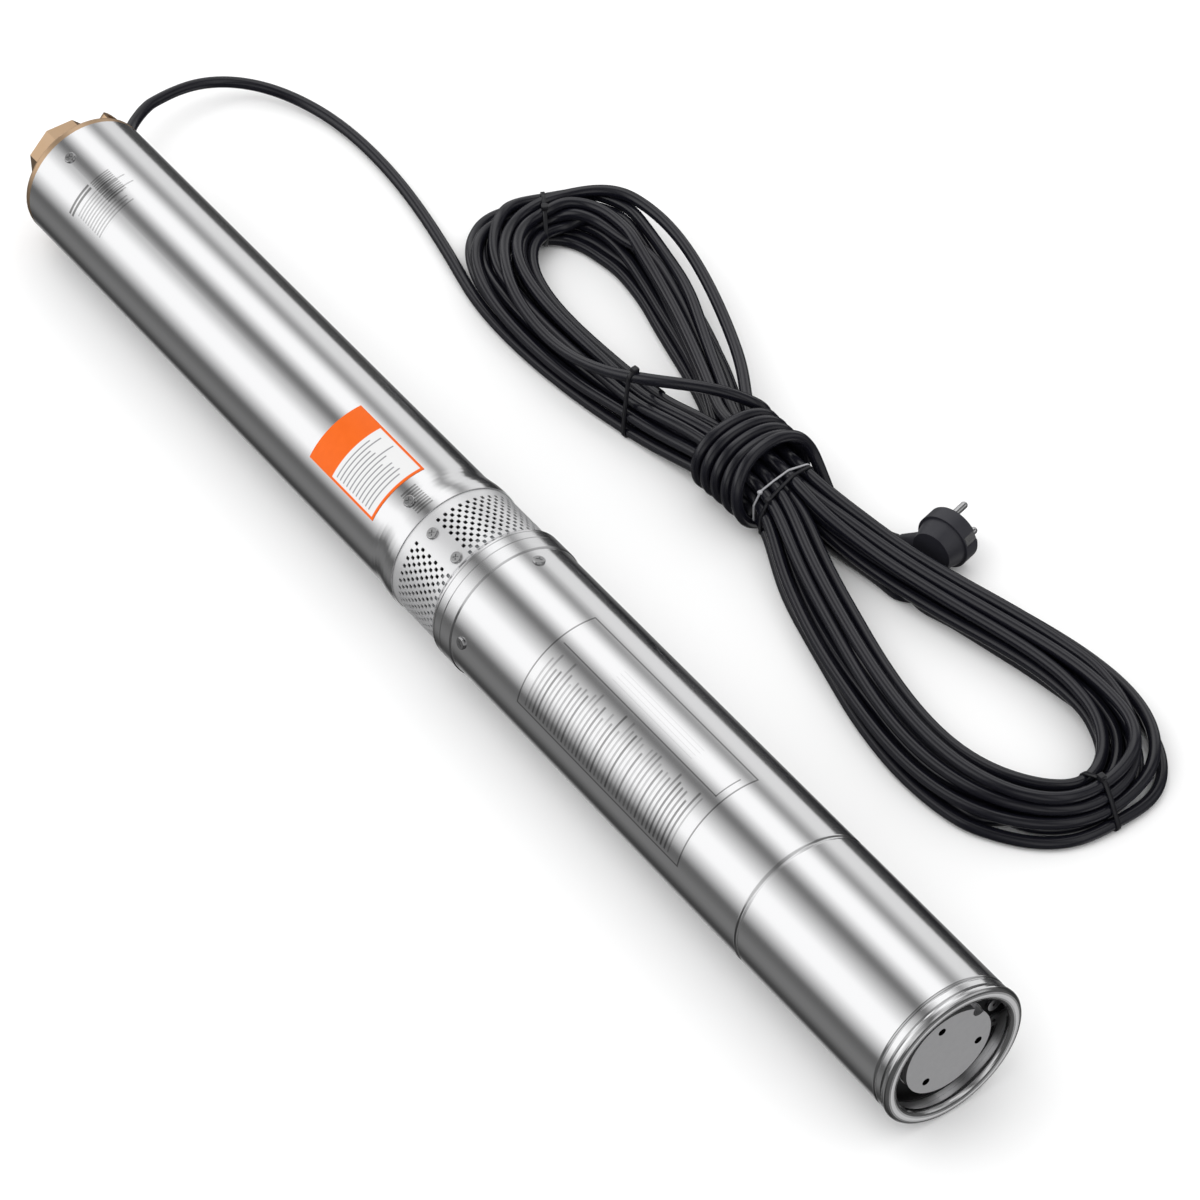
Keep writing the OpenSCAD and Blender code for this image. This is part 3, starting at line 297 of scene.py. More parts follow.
def joined(hank):
    """The whole cord, and for each point the number of its stretch."""
    parts = [lead, hank, climb[1:], wrap[1:], tail]
    kind = np.concatenate([np.full(len(p), k) for k, p in enumerate(parts)])
    whole = np.vstack(parts)
    d = np.linalg.norm(np.diff(whole, axis=0), axis=1)
    s = np.concatenate([[0], np.cumsum(d)])
    points = even(whole, SPACING)
    u = np.linspace(0, s[-1], len(points))
    return points, np.interp(u, s, kind)


plan, kind = joined(loose)
in_hank = np.abs(kind - HANK) < 0.6
in_wrap = np.abs(kind - WRAP) < 0.5
print("cord points", len(plan))

# %% [markdown]
# ## Settling the cord
# Blender's soft bodies don't handle a cord that touches itself this often.
# A small relaxation does. Where two stretches lie nearer than one cord's
# diameter they are pushed straight apart. Each point keeps a slight pull to
# its planned place and to the middle of its neighbours, and sags a little.
# The ties and the binding draw the turns together, and nothing sinks into
# the floor.

# %% Where the ties hold the arms
# Ring angles at which a tie holds an arm
TIE_TURNS = [0, 170, 252]
# How far along an arm and across it a tie draws the turns together, and how
# far along the waist the binding does
TIE_REACH, ARM_HALF, WAIST_REACH = 16, 34, 44


def arm_at(f):
    """The middle of an arm at ring angle f, and the way along the arm."""
    f = float(f)
    p = inner_turn(f) + 1.5 * STEP * outward(f)
    o = outward(f)
    return p, np.array([-o[1], o[0]])


def bundles(home):
    """The pulls: each point's weight in a bundle, the bundle's way, its middle."""
    pulls = []
    for f in TIE_TURNS:
        c, w = arm_at(f)
        along = (home[:, :2] - c) @ w
        across = (home[:, :2] - c) @ np.array([w[1], -w[0]])
        weight = np.exp(-(along / TIE_REACH) ** 2) * (np.abs(across) < ARM_HALF) * in_hank
        pulls.append((np.where(weight > 0.02, weight, 0), np.array([w[0], w[1], 0]), None))
    # the waist is drawn into the binding
    weight = np.exp(-((home[:, 0] - 20) / WAIST_REACH) ** 4) * in_hank
    beyond = np.clip((home[:, 0] - 8) / 34, 0, 1)
    middle = np.column_stack([0 * beyond, WRAP_MID[0] - 1 + 6 * beyond, 24 + 0 * beyond])
    pulls.append((np.where(weight > 0.02, weight, 0), np.array([1.0, 0, 0]), middle))
    return pulls


pulls = bundles(plan)
print("points in each bundle", [int((weight > 0).sum()) for weight, _, _ in pulls])


# %% Settle
# Points nearer than this are looked at, and the search is made again after
# this many rounds
NEAR, SEARCH_EVERY = 12.5, 6
# Neighbours along the cord that don't count as touching
NEIGHBOURS = 4
# The share of an overlap that one round undoes, and of it what a hard-held
# binding gives way
PUSH, BINDING_GIVES = 0.45, 0.25
# The pull home, in the binding and elsewhere
HOME_WRAP, HOME = 0.12, 0.010
# What a round sinks the hank, and draws a bundle together
SINK, DRAW = 0.10, 0.03
# A bend sharper than this radius springs back harder
TIGHTEST, EASE, SPRING = 34.0, 0.3, 0.35
# Points at the two ends that don't move
START, END = 14, 12


def near_pairs(p, reach):
    """Pairs of points that lie close but are not neighbours along the cord."""
    found = []
    index = np.arange(len(p))
    cell = np.floor(p / reach).astype(int)
    key = {}
    for i, c in enumerate(map(tuple, cell)):
        key.setdefault(c, []).append(i)
    for c, mine in key.items():
        around = [
            j
            for dx in (-1, 0, 1) for dy in (-1, 0, 1) for dz in (-1, 0, 1)
            for j in key.get((c[0] + dx, c[1] + dy, c[2] + dz), ())
        ]
        m, q = np.array(mine), np.array(around)
        far = np.linalg.norm(p[m][:, None] - p[q][None], axis=2)
        between = np.abs(index[m][:, None] - index[q][None])
        ii, jj = np.nonzero((far < reach) & (between > NEIGHBOURS))
        found.append(np.column_stack([m[ii], q[jj]]))
    return np.vstack(found)


def apart(p, pairs):
    """How each point moves so that no two stretches overlap."""
    t = np.gradient(p, axis=0)
    t /= np.linalg.norm(t, axis=1, keepdims=True)
    i, j = pairs[:, 0], pairs[:, 1]
    away = p[i] - p[j]
    along = (away * t[j]).sum(1)
    ok = np.abs(along) < 0.75 * SPACING
    away = away - along[:, None] * t[j]
    gap = np.linalg.norm(away, axis=1) + 1e-6
    hit = ok & (gap < CORD_D)
    push = np.where(hit, PUSH * (CORD_D - gap) / gap, 0)[:, None] * away
    move = np.zeros_like(p)
    count = np.zeros(len(p))
    np.add.at(move, i, push * np.where(in_wrap[i], BINDING_GIVES, 1.0)[:, None])
    np.add.at(move, j, -push * np.where(in_wrap[j], BINDING_GIVES, 1.0)[:, None])
    np.add.at(count, i, hit)
    np.add.at(count, j, hit)
    return move / np.maximum(1, count * 0.6)[:, None]


def straighten(p):
    """How each point moves towards the middle of its neighbours."""
    bend = np.zeros_like(p)
    bend[1:-1] = (p[:-2] + p[2:]) / 2 - p[1:-1]
    sharp = np.linalg.norm(bend, axis=1) / (SPACING**2 / (2 * TIGHTEST))
    return (EASE + SPRING * np.clip(sharp - 1, 0, 1) * ~in_wrap)[:, None] * bend


def settle(home, rounds):
    """The cord's points after some rounds, which start from their planned places."""
    p = home.copy()
    held = np.zeros(len(p))
    held[:START] = held[-END:] = 1
    free = (1 - held)[:, None]
    tied = np.max([weight for weight, _, _ in pulls], axis=0)
    stay = (np.where(in_wrap, HOME_WRAP, HOME) * (1 - 0.9 * tied))[:, None]
    for n in range(rounds):
        if n % SEARCH_EVERY == 0:
            pairs = near_pairs(p, NEAR)
        late = n > rounds * 0.8
        p += free * apart(p, pairs)
        p += free * stay * (0.4 if late else 1.0) * (home - p)
        if not late:
            p[:, 2] -= SINK * free[:, 0] * in_hank
            for weight, way, middle in pulls:
                m = weight > 0
                mean = (weight[m, None] * p[m]).sum(0) / weight[m].sum()
                off = p[m] - (mean if middle is None else middle[m])
                off -= (off @ way)[:, None] * way
                p[m] -= DRAW * weight[m, None] * off
        p += free * straighten(p)
        # nothing sinks into the floor
        p[:, 2] = np.where(held > 0, p[:, 2], np.maximum(p[:, 2], CORD_R + 0.1))
    return p


cord_line = settle(plan, 160)

# %% [markdown]
# The settled points become one smooth curve with a round bevel. A curve stays
# one cord from end to end, and its thickness can be changed in one place.

# %% Cord as one bevelled curve
def new_curve(name, kind, points):
    """A curve object with one spline; each point has x, y, z and a weight."""
    curve = bpy.data.curves.new(name, "CURVE")
    curve.dimensions = "3D"
    spline = curve.splines.new(kind)
    spline.points.add(len(points) - 1)
    spline.points.foreach_set("co", points.ravel())
    o = bpy.data.objects.new(name, curve)
    bpy.context.scene.collection.objects.link(o)
    return o, curve, spline


weights = np.ones(len(cord_line))
mains_cord, cord_curve, spline = new_curve(
    "mains_cord", "NURBS", np.column_stack([cord_line * MM, weights])
)
cord_curve.bevel_depth = CORD_R * MM
cord_curve.bevel_resolution = 3
cord_curve.use_fill_caps = True
cord_curve.resolution_u = 2
spline.order_u = 4
spline.use_endpoint_u = True
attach(mains_cord, "pump")
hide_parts("cord_lead", "cord_hank", "cord_wrap", "cord_tail")
print("cord curve points", len(cord_line))

# %% [markdown]
# ## Cable ties
# Each tie is drawn tight, so it follows the outline of the turns that it
# holds. The turns' middles are found in an upright plane across the arm, the
# outline round them becomes a flat ribbon, and the ribbon is given its
# thickness and a small lock.


# %% Helpers for the ties
def outline(points):
    """The convex outline of some points, by Andrew's monotone chain."""
    p = sorted(map(tuple, points))
    sides = []
    for run in (p, p[::-1]):
        side = []
        for q in run:
            while len(side) > 1 and (
                (side[-1][0] - side[-2][0]) * (q[1] - side[-2][1])
                - (side[-1][1] - side[-2][1]) * (q[0] - side[-2][0])
            ) <= 0:
                side.pop()
            side.append(q)
        sides += side[:-1]
    return np.array(sides)


def turns_through(at, way, reach):
    """Where the cord passes through the tie's plane: across the arm, and up."""
    d = (cord_line[:, :2] - at) @ way
    hit = np.nonzero((d[:-1] * d[1:] < 0) & (kind[1:] < CLIMB + 0.5))[0]
    k = (d[hit] / (d[hit] - d[hit + 1]))[:, None]
    p = cord_line[hit] + k * (cord_line[hit + 1] - cord_line[hit])
    across = (p[:, :2] - at) @ np.array([way[1], -way[0]])
    near = np.abs(across - np.median(across[np.abs(across) < ARM_HALF])) < reach
    return np.column_stack([across, p[:, 2]])[near]


def only(o):
    """Makes o the one selected and active object."""
    bpy.ops.object.select_all(action="DESELECT")
    o.select_set(True)
    bpy.context.view_layer.objects.active = o


def harden(o, kind, **settings):
    """Adds a modifier of this kind and applies it."""
    only(o)
    m = o.modifiers.new(kind.lower(), kind)
    for name, value in settings.items():
        setattr(m, name, value)
    bpy.ops.object.modifier_apply(modifier=m.name)


def clean_normals(o):
    """Turns all the faces of o outwards."""
    only(o)
    bpy.ops.object.mode_set(mode="EDIT")
    bpy.ops.mesh.select_all(action="SELECT")
    bpy.ops.mesh.normals_make_consistent(inside=False)
    bpy.ops.object.mode_set(mode="OBJECT")


# %% Ties
# The tie's middle lies this far off the cord's skin, and its thickness
TIE_OFF, TIE_THICK = 0.35, 1.2
# Its lowest middle stands this high over the floor
TIE_FLOOR = 0.6


def tight_tie(n, at, way, reach, half_width, lean):
    """A tie round the turns at a place; lean shifts its lock to one side."""
    middles = turns_through(at, way, reach)
    rim = np.radians(np.arange(0, 360, 15))
    ring = CORD_R + TIE_OFF
    skin = [
        (u + ring * np.cos(g), max(TIE_FLOOR, h + ring * np.sin(g)))
        for u, h in middles for g in rim
    ]
    loop = outline(skin) * MM
    zero = loop[:, 0] * 0
    tie, ribbon, band = new_curve(f"tie_{n}", "POLY", np.column_stack([loop, zero, zero + 1]))
    ribbon.extrude = half_width * MM
    band.use_cyclic_u = True
    only(tie)
    bpy.ops.object.convert(target="MESH")
    # The lock: a small block on the loop's upper edge
    top = loop[np.argmax(loop[:, 1] + lean * loop[:, 0])]
    tall = (1.2 + 1.6 * half_width) * MM
    bpy.ops.mesh.primitive_cube_add(size=1, location=(top[0], top[1] + 0.4 * tall, 0))
    lock = bpy.context.object
    lock.scale = (1.35 * tall, tall, 1.35 * tall)
    bpy.ops.object.transform_apply(location=True, rotation=False, scale=True)
    harden(lock, "BEVEL", width=0.2 * tall, segments=2)
    harden(tie, "SOLIDIFY", thickness=TIE_THICK * MM, offset=0.0)
    bpy.ops.object.select_all(action="DESELECT")
    lock.select_set(True)
    tie.select_set(True)
    bpy.context.view_layer.objects.active = tie
    bpy.ops.object.join()
    side, ahead = Vector((way[1], -way[0], 0)), Vector((way[0], way[1], 0))
    stand = Matrix((side, (0, 0, 1), ahead)).transposed().to_4x4()
    tie.matrix_world = Matrix.Translation((at[0] * MM, at[1] * MM, 0)) @ stand
    bpy.ops.object.transform_apply(location=True, rotation=True, scale=True)
    clean_normals(tie)
    print("tie", n, "holds", len(middles), "turns")
    return tie


# Where, across which way, how far to its sides, half its width, the lock's lean.
# Three ties hold one arm each, two hold the whole bundle at the binding's mouth.
TIES = [(*arm_at(f), reach, 1.4, -0.25) for f, reach in zip(TIE_TURNS, (24, 28, 26))]
TIES.append((np.array([45.0, 208.0]), np.array([1.0, 0.0]), 40, 0.5, 1.5))
TIES.append((np.array([50.0, 208.0]), np.array([0.985, 0.174]), 40, 1.0, 1.0))
ties = [tight_tie(n + 1, *tie) for n, tie in enumerate(TIES)]

# %% [markdown]
# The ties go with the pump's body, and the CAD's own ties are hidden.

for tie in ties:
    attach(tie, "pump")
    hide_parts("cable_ties")

# %% [markdown]
# ## The perforated strainer
# The strainer is thin sheet with hundreds of small staggered holes, more than
# the CAD sheet carries. A tube of small squares is made, every second square
# is drawn in and its corners are cut to make a hole, and the sheet is given
# its wall. The seam strip under the screws and the strip under the cable
# guard stay whole.

# %% Perforated strainer
SHEET_R, SHEET_WALL = 46.6, 0.8
SHEET_X0, SHEET_X1 = -16.1, 31.5
ROWS, COLUMNS = 14, 105
# Rows without holes under the shell's skirt
PLAIN_ROWS = 3
# Clock angles of the seam strip, of its middle, and of the strip that is hidden
SEAM, SEAM_MIDDLE, HIDDEN = (112.5, 133.0), 122, (318, 362)
# How far a hole is drawn in from its square, and how its corners are cut
HOLE_INSET, HOLE_ROUND = 0.28, 0.6
bpy.ops.object.select_all(action="DESELECT")
bpy.ops.mesh.primitive_cylinder_add(
    vertices=COLUMNS, radius=(SHEET_R - SHEET_WALL / 2) * MM, depth=(SHEET_X1 - SHEET_X0) * MM,
    end_fill_type="NOTHING", rotation=(0, math.pi / 2, 0),
    location=((SHEET_X0 + SHEET_X1) / 2 * MM, AXIS_Y, AXIS_Z),
)
strainer = bpy.context.object
strainer.name = "perforated_strainer"
bpy.ops.object.transform_apply(location=True, rotation=True, scale=True)
mesh = strainer.data
bpy.ops.object.mode_set(mode="EDIT")
bpy.ops.mesh.select_mode(type="EDGE")
bpy.ops.mesh.select_all(action="DESELECT")
bpy.ops.object.mode_set(mode="OBJECT")
for e in mesh.edges:
    a, b = (mesh.vertices[v].co for v in e.vertices)
    e.select = abs(a.x - b.x) > 1 * MM
bpy.ops.object.mode_set(mode="EDIT")
bpy.ops.mesh.subdivide(number_cuts=ROWS - 1)
bpy.ops.mesh.select_mode(type="FACE")
bpy.ops.mesh.select_all(action="DESELECT")
bpy.ops.object.mode_set(mode="OBJECT")
for face in mesh.polygons:
    x = face.center.x / MM
    turn = math.degrees(math.atan2(face.center.z - AXIS_Z, face.center.y - AXIS_Y)) % 360
    row = math.floor((x - SHEET_X0) / (SHEET_X1 - SHEET_X0) * ROWS)
    column = math.floor(turn / 360 * COLUMNS)
    plain = SEAM[0] < turn < SEAM[1] or HIDDEN[0] < turn < HIDDEN[1]
    # past the seam the holes start half a step on
    odd = (row + column + (turn > SEAM_MIDDLE)) % 2
    face.select = odd and row >= PLAIN_ROWS and not plain
bpy.ops.object.mode_set(mode="EDIT")
bpy.ops.mesh.inset(thickness=HOLE_INSET * MM, depth=0, use_individual=True)
bpy.ops.mesh.select_mode(type="VERT")
bpy.ops.mesh.bevel(offset=HOLE_ROUND * MM, segments=2, affect="VERTICES")
bpy.ops.mesh.select_mode(type="FACE")
bpy.ops.mesh.select_all(action="DESELECT")
bpy.ops.object.mode_set(mode="OBJECT")
# Once the corners are cut, only the holes have more than nine
holes = 0
for face in mesh.polygons:
    face.select = len(face.vertices) > 9
    holes += face.select
bpy.ops.object.mode_set(mode="EDIT")
bpy.ops.mesh.delete(type="FACE")
bpy.ops.object.mode_set(mode="OBJECT")
clean_normals(strainer)
harden(strainer, "SOLIDIFY", thickness=SHEET_WALL * MM, offset=0.0)
bpy.ops.object.shade_smooth_by_angle(angle=math.radians(30))
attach(strainer, "pump")
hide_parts("strainer_screen")
print("strainer holes", holes, "faces", len(strainer.data.polygons))

# %% [markdown]
# ## The valve spring
# The spring behind the valve's disc is a coil of round wire between the disc and
# the guide. It moves with the valve as one piece and keeps its length.

# %% Valve spring
SPRING_R, SPRING_WIRE, SPRING_TURNS = 5.5, 1.2, 4
WIRE_SIDES = 14
spring_low, spring_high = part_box("valve_spring")
spring_length = spring_high[0] - spring_low[0]
bpy.ops.object.select_all(action="DESELECT")
bpy.ops.mesh.primitive_circle_add(
    vertices=WIRE_SIDES, radius=SPRING_WIRE / 2 * MM, location=(0, SPRING_R * MM, 0)
)
spring = bpy.context.object
spring.name = "valve_coil_spring"
bpy.ops.object.transform_apply(location=True, rotation=True, scale=True)
harden(
    spring, "SCREW", axis="X", angle=2 * math.pi, iterations=SPRING_TURNS, steps=32,
    screw_offset=(spring_length - SPRING_WIRE * MM) / SPRING_TURNS,
)
spring.location = (spring_low[0] + SPRING_WIRE / 2 * MM, AXIS_Y, AXIS_Z)
bpy.ops.object.transform_apply(location=True, rotation=True, scale=True)
bpy.ops.object.mode_set(mode="EDIT")
bpy.ops.mesh.select_all(action="SELECT")
bpy.ops.mesh.fill_holes(sides=WIRE_SIDES)
bpy.ops.object.mode_set(mode="OBJECT")
clean_normals(spring)
bpy.ops.object.shade_smooth_by_angle(angle=math.radians(50))
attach(spring, "valve")
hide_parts("valve_spring")
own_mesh(spring)
print("spring faces", len(spring.data.polygons))

# %% [markdown]
# ## Writing shader maths as expressions
# A material's node tree reads badly as a list of links. This small class
# wraps a socket, so `1 - mask * 0.4` adds the Math nodes by itself.


# %% Shader expressions
def feed(tree, slot, value):
    """Links a Value to an input, or sets the input to a plain number or colour."""
    if isinstance(value, Value):
        tree.links.new(value.socket, slot)
    else:
        flat_colour = slot.type == "RGBA" and len(value) == 3
        slot.default_value = (*value, 1) if flat_colour else value


class Value:
    """A socket that can be used in sums."""

    def __init__(self, tree, socket):
        self.tree, self.socket = tree, socket

    def node(self, kind, settings=None, out=0, **inputs):
        """Any node; i0, i1 and so on name its inputs by number."""
        n = self.tree.nodes.new(kind)
        for k, v in (settings or {}).items():
            setattr(n, k, v)
        for k, v in inputs.items():
            numbered = k[0] == "i" and k[1:].isdigit()
            feed(self.tree, n.inputs[int(k[1:]) if numbered else k.replace("_", " ")], v)
        return Value(self.tree, n.outputs[out])

    def math(self, operation, *others):
        """A Math node on this value and the others."""
        names = {f"i{k}": v for k, v in enumerate((self, *others))}
        return self.node("ShaderNodeMath", {"operation": operation}, **names)

    def __add__(self, o): return self.math("ADD", o)
    def __mul__(self, o): return self.math("MULTIPLY", o)
    def __sub__(self, o): return self.math("SUBTRACT", o)
    def __truediv__(self, o): return self.math("DIVIDE", o)
    def __rsub__(self, o): return self.math("MULTIPLY", -1.0).math("ADD", o)
    __radd__, __rmul__ = __add__, __mul__

    def above(self, level, soft):
        """0 below the level and 1 above it, with a soft edge."""
        return ((self - (level - soft / 2)) / soft).clamp()

    def between(self, low, high, soft):
        """1 between the levels and 0 outside them."""
        return self.above(low, soft) * (1 - self.above(high, soft))

    def clamp(self): return self.node("ShaderNodeClamp", i0=self)

    def parts(self):
        """The three numbers of a vector."""
        n = self.tree.nodes.new("ShaderNodeSeparateXYZ")
        self.tree.links.new(self.socket, n.inputs[0])
        return [Value(self.tree, s) for s in n.outputs]

    def chance(self):
        """A random number for each whole value, the same every time."""
        return self.node("ShaderNodeTexWhiteNoise", {"noise_dimensions": "1D"}, W=self)


def blend_colour(factor, a, b):
    """Colour a where the factor is 0 and b where it is 1."""
    return factor.node("ShaderNodeMix", {"data_type": "RGBA"}, out=2, i0=factor, i6=a, i7=b)


# %% Materials as objects

class Finish:
    """A new material with its Principled shader and Object coordinates."""

    def __init__(self, name, **sockets):
        self.material = bpy.data.materials.new(name)
        self.material.use_nodes = True
        self.tree = self.material.node_tree
        self.shader = self.tree.nodes["Principled BSDF"]
        for k, v in sockets.items():
            self.set(k.replace("_", " "), v)
        coordinates = self.tree.nodes.new("ShaderNodeTexCoord")
        self.place = Value(self.tree, coordinates.outputs["Object"])

    def set(self, socket, value):
        feed(self.tree, self.shader.inputs[socket], value)

    def round_axis(self):
        """x along the pump in mm, the clock angle in degrees, the radius in mm."""
        x, y, z = self.place.parts()
        y, up = y - AXIS_Y, z - AXIS_Z
        angle = up.math("ARCTAN2", y) * (180 / math.pi)
        turned = (angle + 360.0).math("MODULO", 360.0)
        radius = (y * y + up * up).math("SQRT")
        return x * 1000.0, turned, radius * 1000.0

    def stretched(self, sx, sy, sz):
        """The place, scaled differently each way, for brushed and wound looks."""
        return self.place.node("ShaderNodeMapping", Vector=self.place, Scale=(sx, sy, sz))

    def noise(self, place, scale, detail=3.0, roughness=0.5):
        return self.place.node(
            "ShaderNodeTexNoise", Vector=place, Scale=scale, Detail=detail, Roughness=roughness
        )

    def bump(self, height, distance, strength):
        n = self.place.node("ShaderNodeBump", Height=height, Distance=distance, Strength=strength)
        self.set("Normal", n)

    def vary(self, noise, dark, light, spread, least):
        """Colour and roughness that follow one noise."""
        self.set("Base Color", blend_colour(noise, dark, light))
        self.set("Roughness", noise * spread + least)


def dress(finish, *names):
    """Gives a material to CAD nodes, by name, or to modelled pieces."""
    for name in names:
        o = nodes[name] if isinstance(name, str) else name
        o.data.materials.clear()
        o.data.materials.append(finish.material)


print("shader helpers ready")

# %% [markdown]
# ## Rubber
# The cord's jacket is smooth black rubber with a faint blue cast and a soft
# sheen. Fine dust and handling vary its gloss, so the roughness follows a
# noise, and a finer one gives the extruded surface a slight grain.

# %% Cord and moulded rubber
cord_finish = Finish("cord_rubber", Specular_IOR_Level=0.6)
dust = cord_finish.noise(cord_finish.place, 60.0)
cord_finish.vary(dust, (0.004, 0.004, 0.007), (0.008, 0.008, 0.013), 0.12, 0.18)
cord_finish.bump(cord_finish.noise(cord_finish.place, 900.0, 2.0), 0.0001, 0.12)
cord_curve.materials.append(cord_finish.material)
dress(cord_finish, "guarded_lead")

moulded = Finish("moulded_rubber")
dust = moulded.noise(moulded.place, 90.0)
moulded.vary(dust, (0.016, 0.016, 0.022), (0.028, 0.028, 0.036), 0.15, 0.36)
moulded.bump(moulded.noise(moulded.place, 1400.0, 2.0), 0.0001, 0.35)
dress(moulded, "lead_relief", "cable_gland", "plug_body", "head_seal", "pressure_diaphragm")
print("rubber done")

# %% [markdown]
# Cable ties are moulded nylon: smooth and a little glossy. Four are black and
# the thin one at the waist has nylon's own milky grey.

# %% Nylon ties
NATURAL_TIE = ties[3]
for name, dark, light in (("black", (0.006, 0.006, 0.008), (0.012, 0.012, 0.015)),
                          ("natural", (0.34, 0.34, 0.36), (0.46, 0.46, 0.48))):
    nylon = Finish(f"{name}_nylon")
    nylon.vary(nylon.noise(nylon.place, 150.0), dark, light, 0.15, 0.25)
    dress(nylon, *[tie for tie in ties if (tie is NATURAL_TIE) == (name == "natural")])
print("ties done")

# %% [markdown]
# ## Floor, sky and lamp
# The pump is shown on white, like a catalogue item. The floor is a plain
# pale plane that keeps a soft shadow.

# %% Floor
bpy.ops.object.select_all(action="DESELECT")
bpy.ops.mesh.primitive_plane_add(size=14, location=(0, 0, -0.0002))
floor = bpy.context.object
floor.name = "floor"
floor_finish = Finish("pale_floor", Roughness=1.0, Specular_IOR_Level=0.0)
floor_finish.set("Base Color", (0.94, 0.94, 0.94))
dress(floor_finish, floor)
floor.visible_glossy = False
print("floor done")

# %% [markdown]
# Steel shows what stands round it, so the sky holds long soft boxes and dark
# gaps that run along the tube. They are seen in reflections alone: all other
# light is an even white. A ramp over the ray's clock angle about the tube
# makes them, since a few lamps could not be placed as finely.

# %% Soft boxes for the reflections
# Each is a panel or a gap: the clock angle on the tube where its middle shows,
# half its width there in degrees, and its light
PANELS = [
    (33, 4, 0.20), (49, 3, 0.06), (70, 2.5, 0.85), (82, 1, 0.35), (96.5, 4.5, 1.2),
    (113, 1.5, 0.18), (138, 6, 1.2), (161.5, 1.5, 0.13), (174, 3, 0.2), (191, 3, 0.055),
    (206, 3, 0.5),
]
# The clock angle that the camera looks from
VIEW_TURN = 119.8
world = bpy.data.worlds.new("studio")
bpy.context.scene.world = world
world.use_nodes = True
sky = world.node_tree
background = sky.nodes["Background"]
ray = Value(sky, sky.nodes.new("ShaderNodeTexCoord").outputs["Generated"])
ray_x, ray_y, ray_z = ray.parts()
clock = (ray_z.math("ARCTAN2", ray_y) * (0.5 / math.pi) + 1.0).math("FRACT")
ramp = sky.nodes.new("ShaderNodeValToRGB")
ramp.color_ramp.interpolation = "LINEAR"
stops = sorted(
    (((2 * edge - VIEW_TURN) % 360) / 360, light)
    for middle, half, light in PANELS for edge in (middle - half, middle + half)
)
while len(ramp.color_ramp.elements) < len(stops):
    ramp.color_ramp.elements.new(0.5)
for element, (where, light) in zip(ramp.color_ramp.elements, stops):
    element.position = where
    element.color = (light, light, light, 1)
feed(sky, ramp.inputs[0], clock)
panels = Value(sky, ramp.outputs[0])
print("sky stops", len(stops))

# %% [markdown]
# Grooves and end faces turn their reflections away from those of the tube.
# They look into a darker part of the sky, which draws the seams as dark lines
# and keeps the end plate apart from the bright rim. The tube's back, seen
# from the other end, has the same panels over it, less bright.

# %% What each ray sees
EVEN, WHITE = 1.1, 1.0
DARK = 0.02
# How far a ray that the tube sends to the camera runs along the pump
TUBE_RAY = 0.569
forward = ray_x.above(0.3, 0.3)
up = ray_z.above(0.0, 0.2)
aside = (ray_x + TUBE_RAY).math("ABSOLUTE").above(0.5, 0.2)
aside = aside * (1.0 - forward * up * 0.55)
along_tube = blend_colour(aside * 0.92, panels, (DARK,) * 3)
# Faces that look along the pump see a dim panel with one bright strip low down
low = ray_z.between(-0.92, -0.5, 0.2) * 0.52
low = low * ray_y.between(0.15, 0.65, 0.2) + 0.09
dim = low.node("ShaderNodeCombineColor", i0=low, i1=low, i2=low)
mirrored = blend_colour(forward * (1.0 - up), along_tube, dim)
path = sky.nodes.new("ShaderNodeLightPath")
seen = blend_colour(Value(sky, path.outputs["Is Glossy Ray"]), (EVEN,) * 3, mirrored)
seen = blend_colour(Value(sky, path.outputs["Is Camera Ray"]), seen, (WHITE,) * 3)
feed(sky, background.inputs["Color"], seen)
print("sky done")

# %% [markdown]
# One large soft lamp over the pump gives the floor its shadow and the rubber
# a direction. It is hidden from reflections, which belong to the sky.

# %% Lamp
LAMP_EYE, LAMP_WAY = (-0.6, -1.4, 2.6), (0.25, 0.55, -1.0)
soft_box = bpy.data.lights.new("soft_box", "AREA")
soft_box.shape = "RECTANGLE"
soft_box.size, soft_box.size_y = 3.0, 2.4
soft_box.energy = 26
lamp = bpy.data.objects.new("soft_box", soft_box)
bpy.context.scene.collection.objects.link(lamp)
lamp.matrix_world = aim(LAMP_EYE, LAMP_WAY, (1, 0, 0))
lamp.visible_glossy = False
bpy.context.scene.view_settings.view_transform = "Standard"
print("lamp power", soft_box.energy)

# %% [markdown]
# ## The steel tubes
# Both shells are drawn stainless tube, brushed round and round, so fine
# rings cross the tube and smear a reflection along it. The maker's data is
# etched a shade darker. Here the etched places are plain frames with ruled
# lines.


# %% Brushed steel
# How much the brushing and a broad cloud change the steel's brightness
RING_SHADE, CLOUD_SHADE = 0.06, 0.03


def steel(name, tone=0.8, roughness=0.15, grain=0.3):
    """Turned or brushed steel whose marks run round the pump's axis."""
    f = Finish(name, Metallic=1.0)
    rings = f.noise(f.stretched(2600.0, 12.0, 12.0), 1.0, 2.0, 0.6)
    cloud = f.noise(f.place, 9.0)
    least = 1 - (RING_SHADE * grain + CLOUD_SHADE) / 2
    level = rings * (RING_SHADE * grain) + cloud * CLOUD_SHADE + least
    f.tone = tone
    f.plain = blend_colour(level, (0, 0, 0), (tone, tone, tone * 1.01))
    f.set("Base Color", f.plain)
    f.set("Roughness", rings * 0.06 + cloud * 0.05 + (roughness - 0.05))
    f.bump(rings, 0.00002, grain)
    return f


def etched(f, mask, depth):
    """Darkens the steel where the mask is 1."""
    f.set("Base Color", blend_colour(mask, f.plain, (f.tone * (1 - depth),) * 3))


